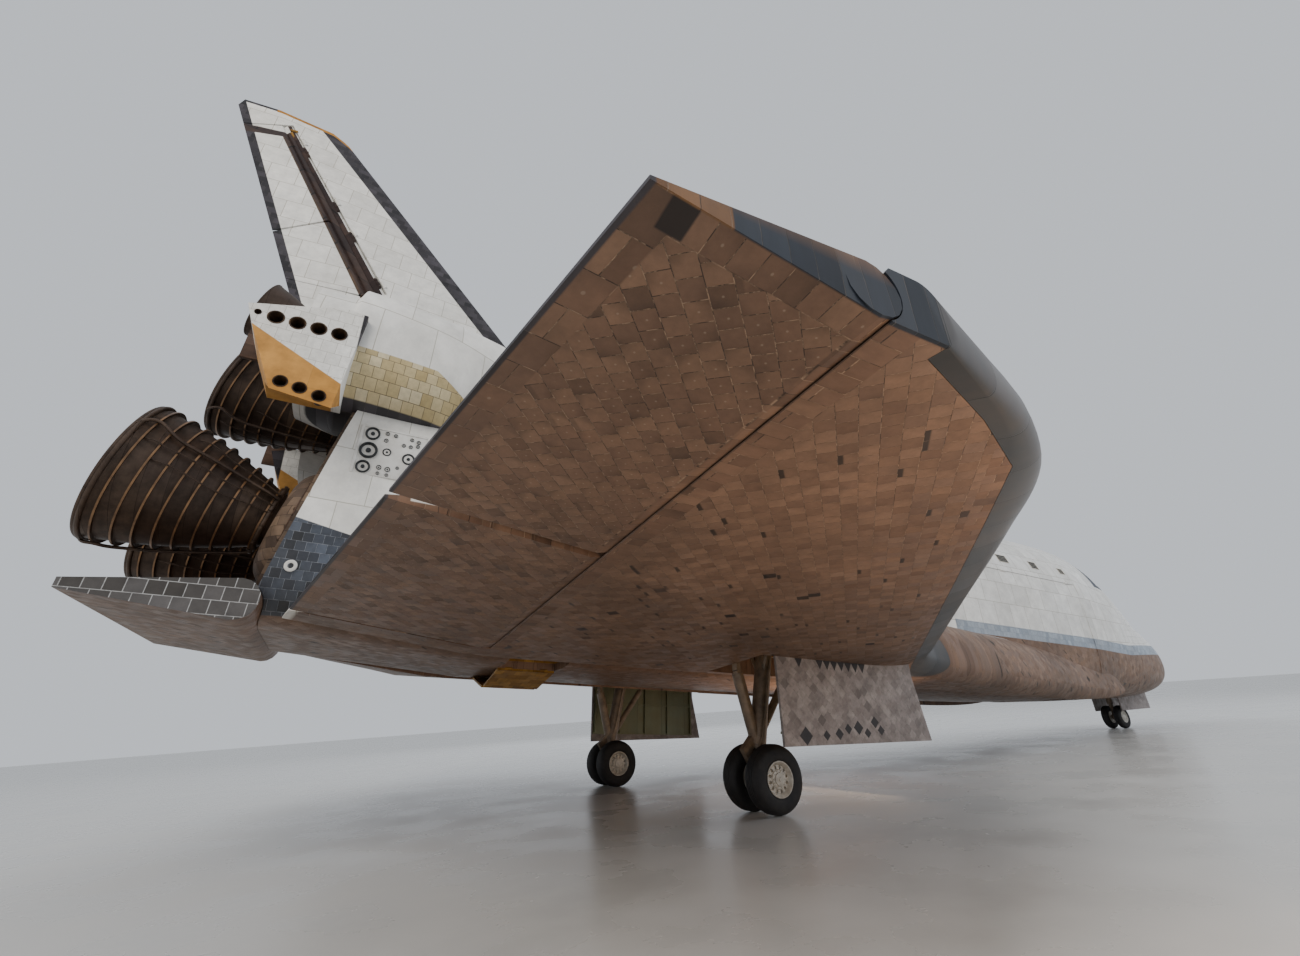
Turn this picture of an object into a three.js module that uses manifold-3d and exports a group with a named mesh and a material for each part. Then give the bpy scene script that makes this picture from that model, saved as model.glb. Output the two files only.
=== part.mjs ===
// A space shuttle orbiter parked on its landing gear, as an assembly of separate named pieces.
// The airframe is drawn in inches in its own station frame: stations count aft from ahead of the nose,
// y is positive to port and z is height on the drawing. The airframe group turns inches into millimetres,
// lowers the nose as the vehicle stands on its wheels, and puts the floor at z = 0 with the nose along +X.
import * as THREE from "three";
import { mergeVertices } from "three/addons/utils/BufferGeometryUtils.js";
import Module from "manifold-3d";

const wasm = await Module();
wasm.setup();

const inch = 25.4;
const touchGap = 0.3 / inch; // between pieces that rest on each other
const runningGap = 8 / inch; // between pieces that move past each other
const noseDown = THREE.MathUtils.degToRad(4.8);
const mainAxleStation = 1172.9;
const noseAxleStation = 377.5;
const floorAtMainAxle = 173.5; // height of the floor on the drawing, below the main axle
const degrees = THREE.MathUtils.degToRad;

// Solids

const at = (station, y, z) => [-station, y, z];

// A closed surface as a solid, its faces turned outwards and its collapsed triangles left out.
function closedSolid(positions, triangles) {
  const kept = triangles.filter(([a, b, c]) => a !== b && b !== c && c !== a);
  const corner = (i) => new THREE.Vector3().fromArray(positions, 3 * i);
  const volume = kept.reduce(
    (sum, [a, b, c]) => sum + corner(a).dot(corner(b).cross(corner(c))),
    0,
  );
  if (volume < 0) kept.forEach((triangle) => triangle.reverse());
  return new wasm.Manifold(
    new wasm.Mesh({
      numProp: 3,
      vertProperties: new Float32Array(positions),
      triVerts: new Uint32Array(kept.flat()),
    }),
  );
}

function solidOf(geometry) {
  const bare = geometry.clone();
  bare.deleteAttribute("normal");
  bare.deleteAttribute("uv");
  const merged = mergeVertices(bare, 1e-4);
  const index = Array.from(merged.index.array);
  const triangles = [];
  for (let i = 0; i < index.length; i += 3) triangles.push(index.slice(i, i + 3));
  return closedSolid(Array.from(merged.attributes.position.array), triangles);
}

// Rings with the same number of points, skinned in order and closed at both ends from their middles.
function loft(rings) {
  const count = rings[0].length;
  const points = rings.flat();
  const triangles = [];
  for (let r = 0; r + 1 < rings.length; r++) {
    for (let i = 0; i < count; i++) {
      const a = r * count + i;
      const b = r * count + ((i + 1) % count);
      triangles.push([a, b, b + count], [a, b + count, a + count]);
    }
  }
  for (const [first, turn] of [[0, -1], [points.length - count, 1]]) {
    const ring = points.slice(first, first + count);
    const middle = points.length;
    points.push([0, 1, 2].map((k) => ring.reduce((sum, p) => sum + p[k], 0) / count));
    for (let i = 0; i < count; i++) {
      const edge = [first + i, first + ((i + 1) % count)];
      triangles.push(turn > 0 ? [...edge, middle] : [edge[1], edge[0], middle]);
    }
  }
  return closedSolid(points.flat(), triangles);
}

const union = (solids) => solids.reduce((all, solid) => all.add(solid));
const mirrored = (solid) => solid.mirror([0, 1, 0]);
const bothSides = (solid) => solid.add(mirrored(solid));

function block(stations, ys, zs) {
  const size = [stations, ys, zs].map(([low, high]) => high - low);
  const middle = [stations, ys, zs].map(([low, high]) => (low + high) / 2);
  return solidOf(new THREE.BoxGeometry(...size).translate(...at(...middle)));
}

// An outline drawn in one of the three views, as wide as its span across that view.
const views = {
  side: [at(1, 0, 0), at(0, 0, 1), at(0, 1, 0)], // station and z, spanning y
  plan: [at(1, 0, 0), at(0, 1, 0), at(0, 0, 1)], // station and y, spanning z
  front: [at(0, 1, 0), at(0, 0, 1), at(1, 0, 0)], // y and z, spanning stations
};

function prism(view, outline, [from, to]) {
  const shape = new THREE.Shape(outline.map(([u, v]) => new THREE.Vector2(u, v)));
  const geometry = new THREE.ExtrudeGeometry(shape, { depth: to - from, bevelEnabled: false });
  const axes = views[view].map((axis) => new THREE.Vector3(...axis));
  return solidOf(
    geometry.translate(0, 0, from).applyMatrix4(new THREE.Matrix4().makeBasis(...axes)),
  );
}

// A round bar or cone between two points. Its corners are turned by half a side where asked,
// so that a socket's flats face the bar's corners.
function rod(from, to, radius, endRadius = radius, sides = 16, halfTurned = false) {
  const start = new THREE.Vector3(...from);
  const end = new THREE.Vector3(...to);
  const along = end.clone().sub(start).normalize();
  const helper = Math.abs(along.z) < 0.9 ? new THREE.Vector3(0, 0, 1) : new THREE.Vector3(0, 1, 0);
  const across = helper.cross(along).normalize();
  const upward = along.clone().cross(across);
  const ring = (centre, r) =>
    Array.from({ length: sides }, (_, i) => {
      const turn = (2 * Math.PI * (i + (halfTurned ? 0.5 : 0))) / sides;
      return centre
        .clone()
        .addScaledVector(across, r * Math.cos(turn))
        .addScaledVector(upward, r * Math.sin(turn))
        .toArray();
    });
  return loft([ring(start, radius), ring(end, endRadius)]);
}

// The hole for a rod, whose flats clear the rod's corners by the touching gap.
function socket(from, to, radius, endRadius = radius, sides = 16) {
  const open = (r) => (r + touchGap) / Math.cos(Math.PI / sides);
  const along = new THREE.Vector3(...to).sub(new THREE.Vector3(...from)).setLength(touchGap);
  const start = new THREE.Vector3(...from).sub(along).toArray();
  const end = new THREE.Vector3(...to).add(along).toArray();
  return rod(start, end, open(radius), open(endRadius), sides, true);
}

// A profile of distance along an axis and radius, turned round that axis.
function turned(profile, sides, origin, axis, firstSide = 0) {
  const points = profile.map(([along, radius]) => new THREE.Vector2(radius, along));
  const turn = new THREE.Quaternion().setFromUnitVectors(
    new THREE.Vector3(0, 1, 0),
    new THREE.Vector3(...axis).normalize(),
  );
  return solidOf(
    new THREE.LatheGeometry(points, sides, firstSide).applyQuaternion(turn).translate(...origin),
  );
}

// A solid turned about an axis through a point, both in the airframe's own x, y and z.
function swung(solid, origin, axis, angle) {
  const [x, y, z] = origin;
  const matrix = new THREE.Matrix4()
    .makeTranslation(x, y, z)
    .multiply(new THREE.Matrix4().makeRotationAxis(new THREE.Vector3(...axis).normalize(), angle))
    .multiply(new THREE.Matrix4().makeTranslation(-x, -y, -z));
  return solid.transform(matrix.elements);
}

// Finishes and the list of pieces

const finish = (color, roughness, metalness = 0) => ({ color, roughness, metalness });
const finishes = {
  whiteTile: finish(0xd8d6d0, 0.7),
  blackTile: finish(0x38322f, 0.75),
  carbon: finish(0x3a3d42, 0.45),
  nozzle: finish(0x5a4436, 0.5, 0.6),
  seal: finish(0x2e2420, 0.6, 0.3),
  shieldMetal: finish(0x6b5a4c, 0.6, 0.4),
  radiator: finish(0xc9ccce, 0.2, 0.8),
  glass: finish(0x15181c, 0.08),
  steel: finish(0xc2b8a6, 0.45, 0.4),
  hub: finish(0xc8c4ba, 0.4, 0.5),
  tyre: finish(0x17181a, 0.8),
};

const airframe = new THREE.Group();

function place(name, solid, material) {
  const mesh = solid.getMesh();
  const positions = [];
  for (const corner of mesh.triVerts) {
    const start = corner * mesh.numProp;
    positions.push(...mesh.vertProperties.subarray(start, start + 3));
  }
  const geometry = new THREE.BufferGeometry();
  geometry.setAttribute("position", new THREE.Float32BufferAttribute(positions, 3));
  geometry.computeVertexNormals();
  const piece = new THREE.Mesh(geometry, new THREE.MeshStandardMaterial(finishes[material]));
  piece.name = name;
  airframe.add(piece);
}

function placePair(name, portSolid, material) {
  place(`${name}_left`, portSolid, material);
  place(`${name}_right`, mirrored(portSolid), material);
}

// Fuselage sections

// station, half width, top, height of the widest point, bottom, power of the curve above it and below it
const fuselageSections = [
  [236.5, 5, 341, 337, 333, 2, 2],
  [240, 14, 352, 337, 322, 2, 2],
  [250, 27, 362, 337, 312, 2, 2],
  [262, 36.5, 369, 336, 306.3, 2, 2.2],
  [280, 47, 378, 335, 300, 2, 2.3],
  [300, 56, 386, 334, 294.5, 2, 2.5],
  [340, 70, 400, 333, 287.5, 2, 2.7],
  [378, 80, 411, 333, 283.5, 2.1, 2.9],
  [400, 84, 420, 335, 281, 2.2, 3],
  [420, 87.5, 441, 339, 280, 2.25, 3.1],
  [447, 91.5, 470, 345, 278.5, 2.3, 3.2],
  [480, 95.5, 489, 355, 276.5, 2.3, 3.4],
  [520, 99.5, 498, 370, 274, 2.2, 3.8],
  [560, 103.6, 499.7, 388, 272.5, 2.05, 4.6],
  [582, 105, 500, 396, 271.5, 2, 5.5],
  [640, 105, 500, 396, 270, 2, 7],
  [800, 105, 500, 396, 267.5, 2, 7],
  [1200, 105, 500, 396, 267.5, 2, 7],
  [1307, 105, 500, 396, 268.5, 2, 7],
  [1362, 106.3, 500, 396, 268.5, 2.07, 7],
  [1387, 107, 500, 396, 270.5, 2.1, 7],
  [1500, 112, 500, 398, 280, 2.3, 7],
  [1545, 115, 500, 400, 283.5, 2.4, 7],
];
const hoopSides = 24;
const cabinJoint = 582; // between forward fuselage and payload bay
const bayJoint = 1307; // between payload bay and aft fuselage

function fuselageSection(station) {
  const next = fuselageSections.findIndex(([s]) => s >= station);
  if (next <= 0) return fuselageSections[0];
  const [low, high] = [fuselageSections[next - 1], fuselageSections[next]];
  const share = (station - low[0]) / (high[0] - low[0]);
  return low.map((value, i) => value + share * (high[i] - value));
}

// One hoop of a rounded body: half-powers of sine and cosine on each side of its widest line.
function hoop(station, middle, halfWidth, top, wide, bottom, above, below) {
  return Array.from({ length: hoopSides }, (_, i) => {
    const turn = (2 * Math.PI * i) / hoopSides;
    const [across, up] = [Math.cos(turn), Math.sin(turn)];
    const power = 2 / (up > 0 ? above : below);
    const reach = up > 0 ? top - wide : wide - bottom;
    return at(
      station,
      middle + halfWidth * Math.sign(across) * Math.abs(across) ** power,
      wide + reach * Math.sign(up) * Math.abs(up) ** power,
    );
  });
}

// The fuselage between two stations, drawn in by an inset or grown where the inset is negative.
function fuselage(from, to, inset = 0) {
  const between = fuselageSections.map(([s]) => s).filter((s) => s > from + 0.5 && s < to - 0.5);
  return loft(
    [from, ...between, to].map((station) => {
      const [, halfWidth, top, wide, bottom, above, below] = fuselageSection(station);
      return hoop(
        station, 0, halfWidth - inset, top - inset, wide, bottom + inset, above, below,
      );
    }),
  );
}

// How far the skin lies from the centre line at a station and a height.
function skinAt(station, z) {
  const [, halfWidth, top, wide, bottom, above, below] = fuselageSection(station);
  const power = z > wide ? above : below;
  const share = z > wide ? (z - wide) / (top - wide) : (wide - z) / (wide - bottom);
  return halfWidth * (1 - share ** power) ** (1 / power);
}

const wholeFuselage = bothSides(fuselage(300, 1545, -touchGap));
const noseCapJoint = 262;

// Nose

function noseCap() {
  return fuselage(236.5, noseCapJoint - touchGap);
}

const noseWell = { stations: [304, 392], halfWidth: 19, ceiling: 328 };
const hatch = { station: 518, z: 352, radius: 20 };
const cabinWall = 6;
const moduleStations = [300, 384];
const moduleHalfWidth = 34;

// windscreen panes: azimuth from straight ahead, width, sill and head as heights, all on each side
const panes = [
  [17, 24, 432, 462],
  [46, 26, 430, 462],
  [76, 26, 428, 458],
];
const windscreenCentre = [478, 0, 440];

function paneCut([azimuth, width, sill, head], sideways) {
  const turn = degrees(azimuth) * sideways;
  const half = Math.tan(degrees(width / 2));
  const reach = 120;
  const [station, , z] = windscreenCentre;
  const ring = (distance) =>
    [[-1, sill], [1, sill], [1, head], [-1, head]].map(([hand, height]) => {
      const across = hand * half * distance;
      return at(
        station - distance * Math.cos(turn) + across * Math.sin(turn),
        distance * Math.sin(turn) + across * Math.cos(turn),
        z + (height - z) * (0.55 + 0.45 * (distance / reach)),
      );
    });
  return loft([ring(20), ring(reach)]);
}

function windowCuts() {
  const overhead = block([522, 545], [6, 24], [470, 520]);
  const aftLooking = block([570, 590], [8, 24], [462, 480]);
  return union([
    ...panes.flatMap((pane) => [paneCut(pane, 1), paneCut(pane, -1)]),
    bothSides(overhead),
    bothSides(aftLooking),
  ]);
}

const hatchHingeRadius = 1.1;

function hatchBarrel(make) {
  const [x, z] = [-hatch.station, hatch.z - hatch.radius];
  const y = skinAt(hatch.station, z);
  return make([x - 5, y, z], [x + 5, y, z], hatchHingeRadius, hatchHingeRadius, 8);
}

function hatchHole(radius) {
  const [x, z] = [-hatch.station, hatch.z];
  return rod([x, 60, z], [x, 130, z], radius, radius, 24);
}

function forwardModuleBlock(gap) {
  return block(
    [moduleStations[0] - gap, moduleStations[1] + gap],
    [-moduleHalfWidth - gap, moduleHalfWidth + gap],
    [368 - gap, 430],
  );
}

// thruster holes of the forward module: station, y, z, then the way they point
const forwardThrusters = [
  [318, 0, 400, [0.35, 0, 1]],
  [318, 11, 399, [0.35, 0.1, 1]],
  [318, -11, 399, [0.35, -0.1, 1]],
  [352, 31, 394, [0, 1, 0.8]],
  [366, 31, 397, [0, 1, 0.8]],
  [352, -31, 394, [0, -1, 0.8]],
  [366, -31, 397, [0, -1, 0.8]],
];

function forwardModule() {
  const holes = forwardThrusters.map(([station, y, z, way]) => {
    const [x, dy, dz] = way;
    return rod(
      at(station, y - 12 * dy, z - 12 * dz).map((v, i) => (i ? v : v - 12 * x)),
      at(station, y + 20 * dy, z + 20 * dz).map((v, i) => (i ? v : v + 20 * x)),
      3.2,
      5,
      8,
    );
  });
  return holes.reduce(
    (body, hole) => body.subtract(hole),
    forwardModuleBlock(0).intersect(fuselage(noseCapJoint, 420)),
  );
}

const cabinSpan = [410, cabinJoint - cabinWall];
const forwardShell = fuselage(noseCapJoint, cabinJoint - touchGap).subtract(
  fuselage(...cabinSpan, cabinWall),
);

function forwardFuselage() {
  const { stations, halfWidth, ceiling } = noseWell;
  return forwardShell
    .subtract(windowCuts())
    .subtract(forwardModuleBlock(touchGap))
    .subtract(block(stations, [-halfWidth, halfWidth], [250, ceiling]))
    .subtract(hatchHole(hatch.radius))
    .subtract(hatchBarrel(socket));
}

const glassThickness = 1.2;

function windscreen() {
  const layer = fuselage(...cabinSpan, cabinWall + touchGap).subtract(
    fuselage(...cabinSpan, cabinWall + glassThickness),
  );
  return layer.intersect(block([413, 552], [-100, 100], [422, 520]));
}

function crewHatch() {
  return forwardShell
    .intersect(hatchHole(hatch.radius - runningGap))
    .add(hatchBarrel(rod));
}

// Payload bay

const bay = { radius: 90, axis: 400, sill: 414 };
const doorThickness = 5;
const radiatorThickness = 1.5;
const doorGap = 6.5 / inch;
const doorHingeRadius = 1.1;
const doorHingeStations = [600, 740, 945, 1150, 1288];

function doorBarrels(make) {
  const y = skinAt(945, bay.sill);
  return union(
    doorHingeStations.map((station) =>
      make(at(station - 5, y, bay.sill), at(station + 5, y, bay.sill), doorHingeRadius, doorHingeRadius, 8),
    ),
  );
}

function midFuselage() {
  const trough = rod(at(570, 0, bay.axis), at(1320, 0, bay.axis), bay.radius, bay.radius, 32);
  return fuselage(cabinJoint, bayJoint)
    .subtract(trough)
    .subtract(block([570, 1320], [-110, 110], [bay.sill - doorGap / 2, 510]))
    .subtract(block([570, 1320], [-bay.radius, bay.radius], [bay.axis, 510]))
    .subtract(bothSides(doorBarrels(socket)));
}

const doorSpan = [cabinJoint + doorGap, bayJoint - doorGap];

function payloadDoor() {
  return fuselage(...doorSpan)
    .subtract(fuselage(cabinJoint, bayJoint, doorThickness))
    .intersect(block(doorSpan, [doorGap / 2, 120], [bay.sill + doorGap / 2, 510]))
    .add(doorBarrels(rod));
}

function radiator() {
  const layer = fuselage(cabinJoint, bayJoint, doorThickness + touchGap).subtract(
    fuselage(cabinJoint, bayJoint, doorThickness + radiatorThickness),
  );
  return layer.intersect(block([600, 1290], [9, 110], [432, 500]));
}

// Wing

const dihedral = degrees(3.5);
const hingeStation = 1387;
const hingeHeight = (y) => 290.58 + (y - 182.13) * Math.tan(dihedral);
const hingeRadius = (y) => 14.4 - 0.0175 * (y - 121);
const trailingEdge = (y) => 1525.24 - 0.17735 * y;
const trailingRise = (y) => 1.9 * Math.max(0, (y - 121) / 347) ** 2; // the edge bends up towards the tip

// y, leading edge station, depth below the chord line and height above it at the thickest places
const ribs = [
  [96, 530, 18.6, 46],
  [105, 611, 18.4, 45],
  [130, 769, 17.6, 42],
  [150, 896, 16.8, 40],
  [160, 965, 16.4, 39],
  [172, 1008, 16, 37.5],
  [200, 1036, 15, 34],
  [312, 1148, 12.5, 24],
  [400, 1236, 10.5, 17.5],
  [436, 1275, 9.4, 13.8],
  [453.7, 1309, 8.8, 11.4],
  [462, 1338, 8.5, 10],
  [468.3, 1362, 8.3, 8.9],
];
const thickestAbove = 0.36; // shares of the distance from leading edge to hinge line
const thickestBelow = 0.2;
const noseSteps = 5;

function rib([y, leading, depth, height]) {
  const chordLine = hingeHeight(y);
  const noseHeight = chordLine - 2;
  const run = hingeStation - leading;
  const radius = hingeRadius(y);
  const curve = (share, reach) =>
    Array.from({ length: noseSteps }, (_, i) => {
      const turn = (Math.PI / 2) * ((i + 1) / noseSteps);
      return [
        leading + share * run * (1 - Math.cos(turn)),
        noseHeight + (chordLine + reach - noseHeight) * Math.sin(turn),
      ];
    });
  const ease = (height - radius) * 0.62 + radius;
  const above = [
    ...curve(thickestAbove, height),
    [leading + run * 0.72, chordLine + ease],
    [hingeStation, chordLine + radius],
  ];
  const below = [...curve(thickestBelow, -depth), [hingeStation, chordLine - radius]];
  const tail = trailingEdge(y);
  const tailHeight = chordLine + trailingRise(y);
  const outline = [
    [leading, noseHeight],
    ...above,
    [tail, tailHeight + 0.6],
    [tail, tailHeight - 0.6],
    ...below.reverse(),
  ];
  return outline.map(([station, z]) => at(station, y, z));
}

const wingBody = loft(ribs.map(rib)).subtract(wholeFuselage);

// elevon: inner and outer ends, measured on the hinge line
const elevons = [
  ["inboard", 121.5, 310],
  ["outboard", 315.5, 468.3],
];
const elevonEndGap = 2;
const upSweep = 38; // how far ahead of the vertical the wing is cut away, above and below the hinge line
const downSweep = 23;
const hingeSides = 16;
const hingeBands = [128, 215, 303, 322, 392, 455]; // y of the hinge ribs that carry the elevons
const hingeBandHalf = 3;

const onHinge = (y) => at(hingeStation, y, hingeHeight(y));

function hingeCone(make, from, to, grow = 0) {
  return make(
    onHinge(from), onHinge(to), hingeRadius(from) + grow, hingeRadius(to) + grow, hingeSides,
  );
}

// The slice of space between two planes square to the hinge line.
function hingeSlice(solid, from, to) {
  const along = [0, Math.cos(dihedral), Math.sin(dihedral)];
  const offset = (y) => onHinge(y).reduce((sum, value, i) => sum + value * along[i], 0);
  return solid
    .trimByPlane(along, offset(from))
    .trimByPlane(along.map((value) => -value), -offset(to));
}

function elevonRoom() {
  const ring = (y) => {
    const z = hingeHeight(y);
    const far = 60;
    return [
      [hingeStation, z],
      [hingeStation - far * Math.sin(degrees(upSweep)), z + far * Math.cos(degrees(upSweep))],
      [1560, z + far],
      [1560, z - far],
      [hingeStation - far * Math.sin(degrees(downSweep)), z - far * Math.cos(degrees(downSweep))],
    ].map(([station, height]) => at(station, y, height));
  };
  return loft([ring(110), ring(480)]);
}

const mainWell = { stations: [1040, 1196], ys: [104, 177], ceiling: 316 };

// The carbon leading edge in plan: from the strake round the swept edge to the tip.
const carbonOutline = [
  [925, 170],
  [1006, 149],
  [1022, 160],
  [1036, 177],
  [1298, 439],
  [1330, 452],
  [1366, 463],
  [1360, 500],
  [1250, 500],
  [930, 190],
];

function wing() {
  const room = hingeSlice(elevonRoom(), elevons[0][1] - elevonEndGap, 475);
  const wide = hingeSlice(hingeCone(rod, 112, 478, runningGap), elevons[0][1] - elevonEndGap, 475);
  const bands = union(
    hingeBands.map((y) => hingeSlice(wingBody, y - hingeBandHalf, y + hingeBandHalf)),
  );
  const { stations, ys, ceiling } = mainWell;
  const carbon = carbonOutline.map(([station, y]) => [station + touchGap, y - touchGap]);
  return wingBody
    .subtract(wide)
    .add(bands.subtract(hingeCone(socket, 112, 478)))
    .subtract(room)
    .subtract(prism("plan", carbon, [200, 400]))
    .subtract(block(stations, ys, [200, ceiling]));
}

function leadingEdge() {
  return wingBody.intersect(prism("plan", carbonOutline, [200, 400]));
}

function elevon(from, to) {
  const aft = wingBody.intersect(block([hingeStation, 1560], [100, 480], [200, 400]));
  return hingeSlice(aft.add(hingeCone(rod, 112, 478)), from, to);
}

// Aft fuselage

const basePlane = { top: [1488.2, 500], bottom: [1529.9, 272] }; // station and z on the rear face
const shieldThickness = 2.5;
const umbilical = {
  stations: [1309.5, 1357], ys: [46, 90], ceiling: 292, doorThickness: 1.6, open: 167,
};
const flap = { station: 1532, z: 290, radius: 12, halfSpan: 119, tail: 1613, tailHalf: 2.7 };
const flapBands = [[-110, -100], [-5, 5], [100, 110]];

// flat panel of the ground couplings on each side, and its three large couplings
const servicePanel = { stations: [1448, 1494], heights: [383, 421], proud: 0.9, depth: 5, panelLine: 400 };
const couplings = [ // station, z, radius, how far it stands out
  [1486, 415.1, 5, 1.6],
  [1486, 401.5, 6.2, 2.2],
  [1486.8, 388.5, 4.8, 1.6],
];
const couplingSides = 10;
const sideVent = { station: 1511, z: 314, radius: 1.7 };

function servicePanelWithCouplings() {
  const { stations, heights, proud, depth, panelLine } = servicePanel;
  const [front, rear] = stations.map((station) => [station, skinAt(station, panelLine) + proud]);
  const plate = prism(
    "plan",
    [[front[0], front[1] - depth], front, rear, [rear[0], rear[1] - depth]],
    heights,
  );
  return couplings.reduce((panel, [station, z, radius, lift]) => {
    const face = rear[1];
    const from = (y) => at(station, y, z);
    const ring = rod(from(face - 3), from(face + lift), radius, radius, couplingSides);
    const mouth = rod(from(face - 0.4), from(face + lift + 1), 0.6 * radius, 0.75 * radius, couplingSides);
    return panel.add(ring).subtract(mouth);
  }, plate);
}

// Everything aft of the rear face, moved aft by a distance.
function behindBase(distance) {
  const slope = (basePlane.bottom[0] - basePlane.top[0]) / (basePlane.top[1] - basePlane.bottom[1]);
  const face = (z) => basePlane.top[0] + (basePlane.top[1] - z) * slope + distance;
  return prism(
    "side",
    [[face(540), 540], [face(240), 240], [1700, 240], [1700, 540]],
    [-140, 140],
  );
}

function flapBar(make, [from, to], grow = 0) {
  const { station, z, radius } = flap;
  return make(at(station, from, z), at(station, to, z), radius + grow, radius + grow, hingeSides);
}

function umbilicalHinge(make) {
  const { stations, ys } = umbilical;
  const z = fuselageSection(1333)[4];
  return union(
    [stations[0] + 6, stations[1] - 12].map((station) =>
      make(at(station, ys[0], z), at(station + 6, ys[0], z), 0.9, 0.9, 8),
    ),
  );
}

function aftFuselage() {
  const wall = 8;
  const { stations, ys, ceiling } = umbilical;
  const aroundWell = block(
    [stations[0] - 4, stations[1] + 4], [ys[0] - 4, ys[1] + 4], [200, ceiling + 4],
  );
  const space = fuselage(bayJoint + wall, 1545, wall).subtract(bothSides(aroundWell));
  const body = fuselage(bayJoint + touchGap, 1545);
  const vent = rod(
    at(sideVent.station, 107, sideVent.z), at(sideVent.station, 115, sideVent.z), sideVent.radius, sideVent.radius, 8,
  );
  const bands = union(flapBands.map((ends) => body.intersect(block([1490, 1532], ends, [250, 310]))));
  return body
    .subtract(space)
    .subtract(flapBar(rod, [-125, 125], runningGap))
    .add(bands)
    .subtract(flapBar(socket, [-125, 125]))
    .subtract(behindBase(0))
    .subtract(bothSides(block(stations, ys, [200, ceiling])))
    .subtract(bothSides(umbilicalHinge(socket)))
    .add(bothSides(servicePanelWithCouplings()))
    .subtract(bothSides(vent));
}

function umbilicalDoor() {
  const { stations, ys, doorThickness: thickness } = umbilical;
  const [low, z] = [stations[0] + runningGap, fuselageSection(1333)[4]];
  const closed = block(
    [low, stations[1] - runningGap], [ys[0], ys[1] - runningGap], [z, z + thickness],
  ).add(umbilicalHinge(rod));
  return swung(closed, at(0, ys[0], z), [1, 0, 0], -degrees(umbilical.open));
}

// engine: name, gimbal point, pitch up and yaw to port
const engines = [
  ["top", [1445, 0, 443], 16, 0],
  ["left", [1468.2, 53, 342.6], 11, 5],
  ["right", [1468.2, -53, 342.6], 11, -5],
];
const bell = {
  start: 66, end: 160, throat: 18, exit: 46, wall: 1.4, sides: 16,
  bands: 9, bandStart: 8, ridge: 1.3, manifold: 2.6, lip: 1.9,
};
// coolant lines along the outside of each bell: degrees round from its upper side
const feedAngles = [18, 180];
const feedPoints = [70, 100, 152]; // distances along the engine's line
const feed = { radius: 1.3, stand: 1.2 };

// where each engine's line meets the rear face, the dome round it and the bolted collar of the dome
const domes = [
  { foot: 52.5, radius: 36, collar: 40.5, bolts: 12 },
  { foot: 47.8, radius: 46, collar: 51.2, bolts: 14 },
  { foot: 47.8, radius: 46, collar: 51.2, bolts: 14 },
];
const domeTop = { radius: 27, steps: 3, sides: 20 };
const collarRim = { below: 5, above: 3.6 };
const lug = { radius: 1.3, height: 1.5 };

function engineLine([, gimbal, pitchUp, yaw]) {
  const [up, out] = [degrees(pitchUp), degrees(yaw)];
  const axis = at(Math.cos(up) * Math.cos(out), Math.cos(up) * Math.sin(out), Math.sin(up));
  const origin = at(...gimbal);
  const point = (distance) => origin.map((value, i) => value + distance * axis[i]);
  return { axis, point };
}

// The outside radius of a bell, a parabola from its throat to its exit.
function bellRadius(distance) {
  const share = (distance - bell.start) / (bell.end - bell.start);
  return bell.throat + (bell.exit - bell.throat) * (1.55 * share - 0.55 * share ** 2);
}

// A direction square to an axis, turned round it by degrees from the way nearest to up.
function aroundAxis(axis, turn) {
  const along = new THREE.Vector3(...axis);
  const up = new THREE.Vector3(0, 0, 1);
  up.addScaledVector(along, -up.dot(along)).normalize();
  return up.applyAxisAngle(along, degrees(turn));
}

function feedLines(engine) {
  const { axis, point } = engineLine(engine);
  return feedAngles.flatMap((turn) => {
    const outward = aroundAxis(axis, turn);
    const knots = feedPoints.map((distance) =>
      new THREE.Vector3(...point(distance))
        .addScaledVector(outward, bellRadius(distance) + feed.stand)
        .toArray(),
    );
    return [
      rod(knots[0], knots[1], feed.radius, feed.radius, 5),
      rod(knots[1], knots[2], feed.radius, feed.radius, 5),
    ];
  });
}

function engineBell(engine) {
  const { axis, point } = engineLine(engine);
  const { start, end, wall, bands, bandStart, ridge, manifold, lip, sides } = bell;
  const outside = [
    [start, 0],
    [start, bellRadius(start)],
    [start + 1.4, bellRadius(start) + manifold],
    [start + 4.2, bellRadius(start) + manifold],
  ];
  const pitchOfBands = (end - start - bandStart) / bands;
  for (let i = 0; i < bands; i++) {
    const middle = start + bandStart + i * pitchOfBands;
    outside.push([middle - 1, bellRadius(middle - 1)], [middle + 0.6, bellRadius(middle) + ridge]);
  }
  const inside = [1, 0.6, 0.25, 0.06].map((share) => {
    const distance = start + share * (end - start);
    return [distance, bellRadius(distance) - wall];
  });
  const profile = [
    ...outside,
    [end - 3.6, bellRadius(end) + 0.4],
    [end - 3, bellRadius(end) + lip],
    [end - 0.6, bellRadius(end) + lip],
    [end, bellRadius(end) + 1],
    ...inside,
    [start + 4, 0],
  ];
  return union([turned(profile, sides, point(0), axis), ...feedLines(engine)]);
}

// The way the rear face looks: aft and a little up.
const baseNormal = new THREE.Vector3(
  ...at(basePlane.top[1] - basePlane.bottom[1], 0, basePlane.bottom[0] - basePlane.top[0]),
).normalize();

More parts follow.
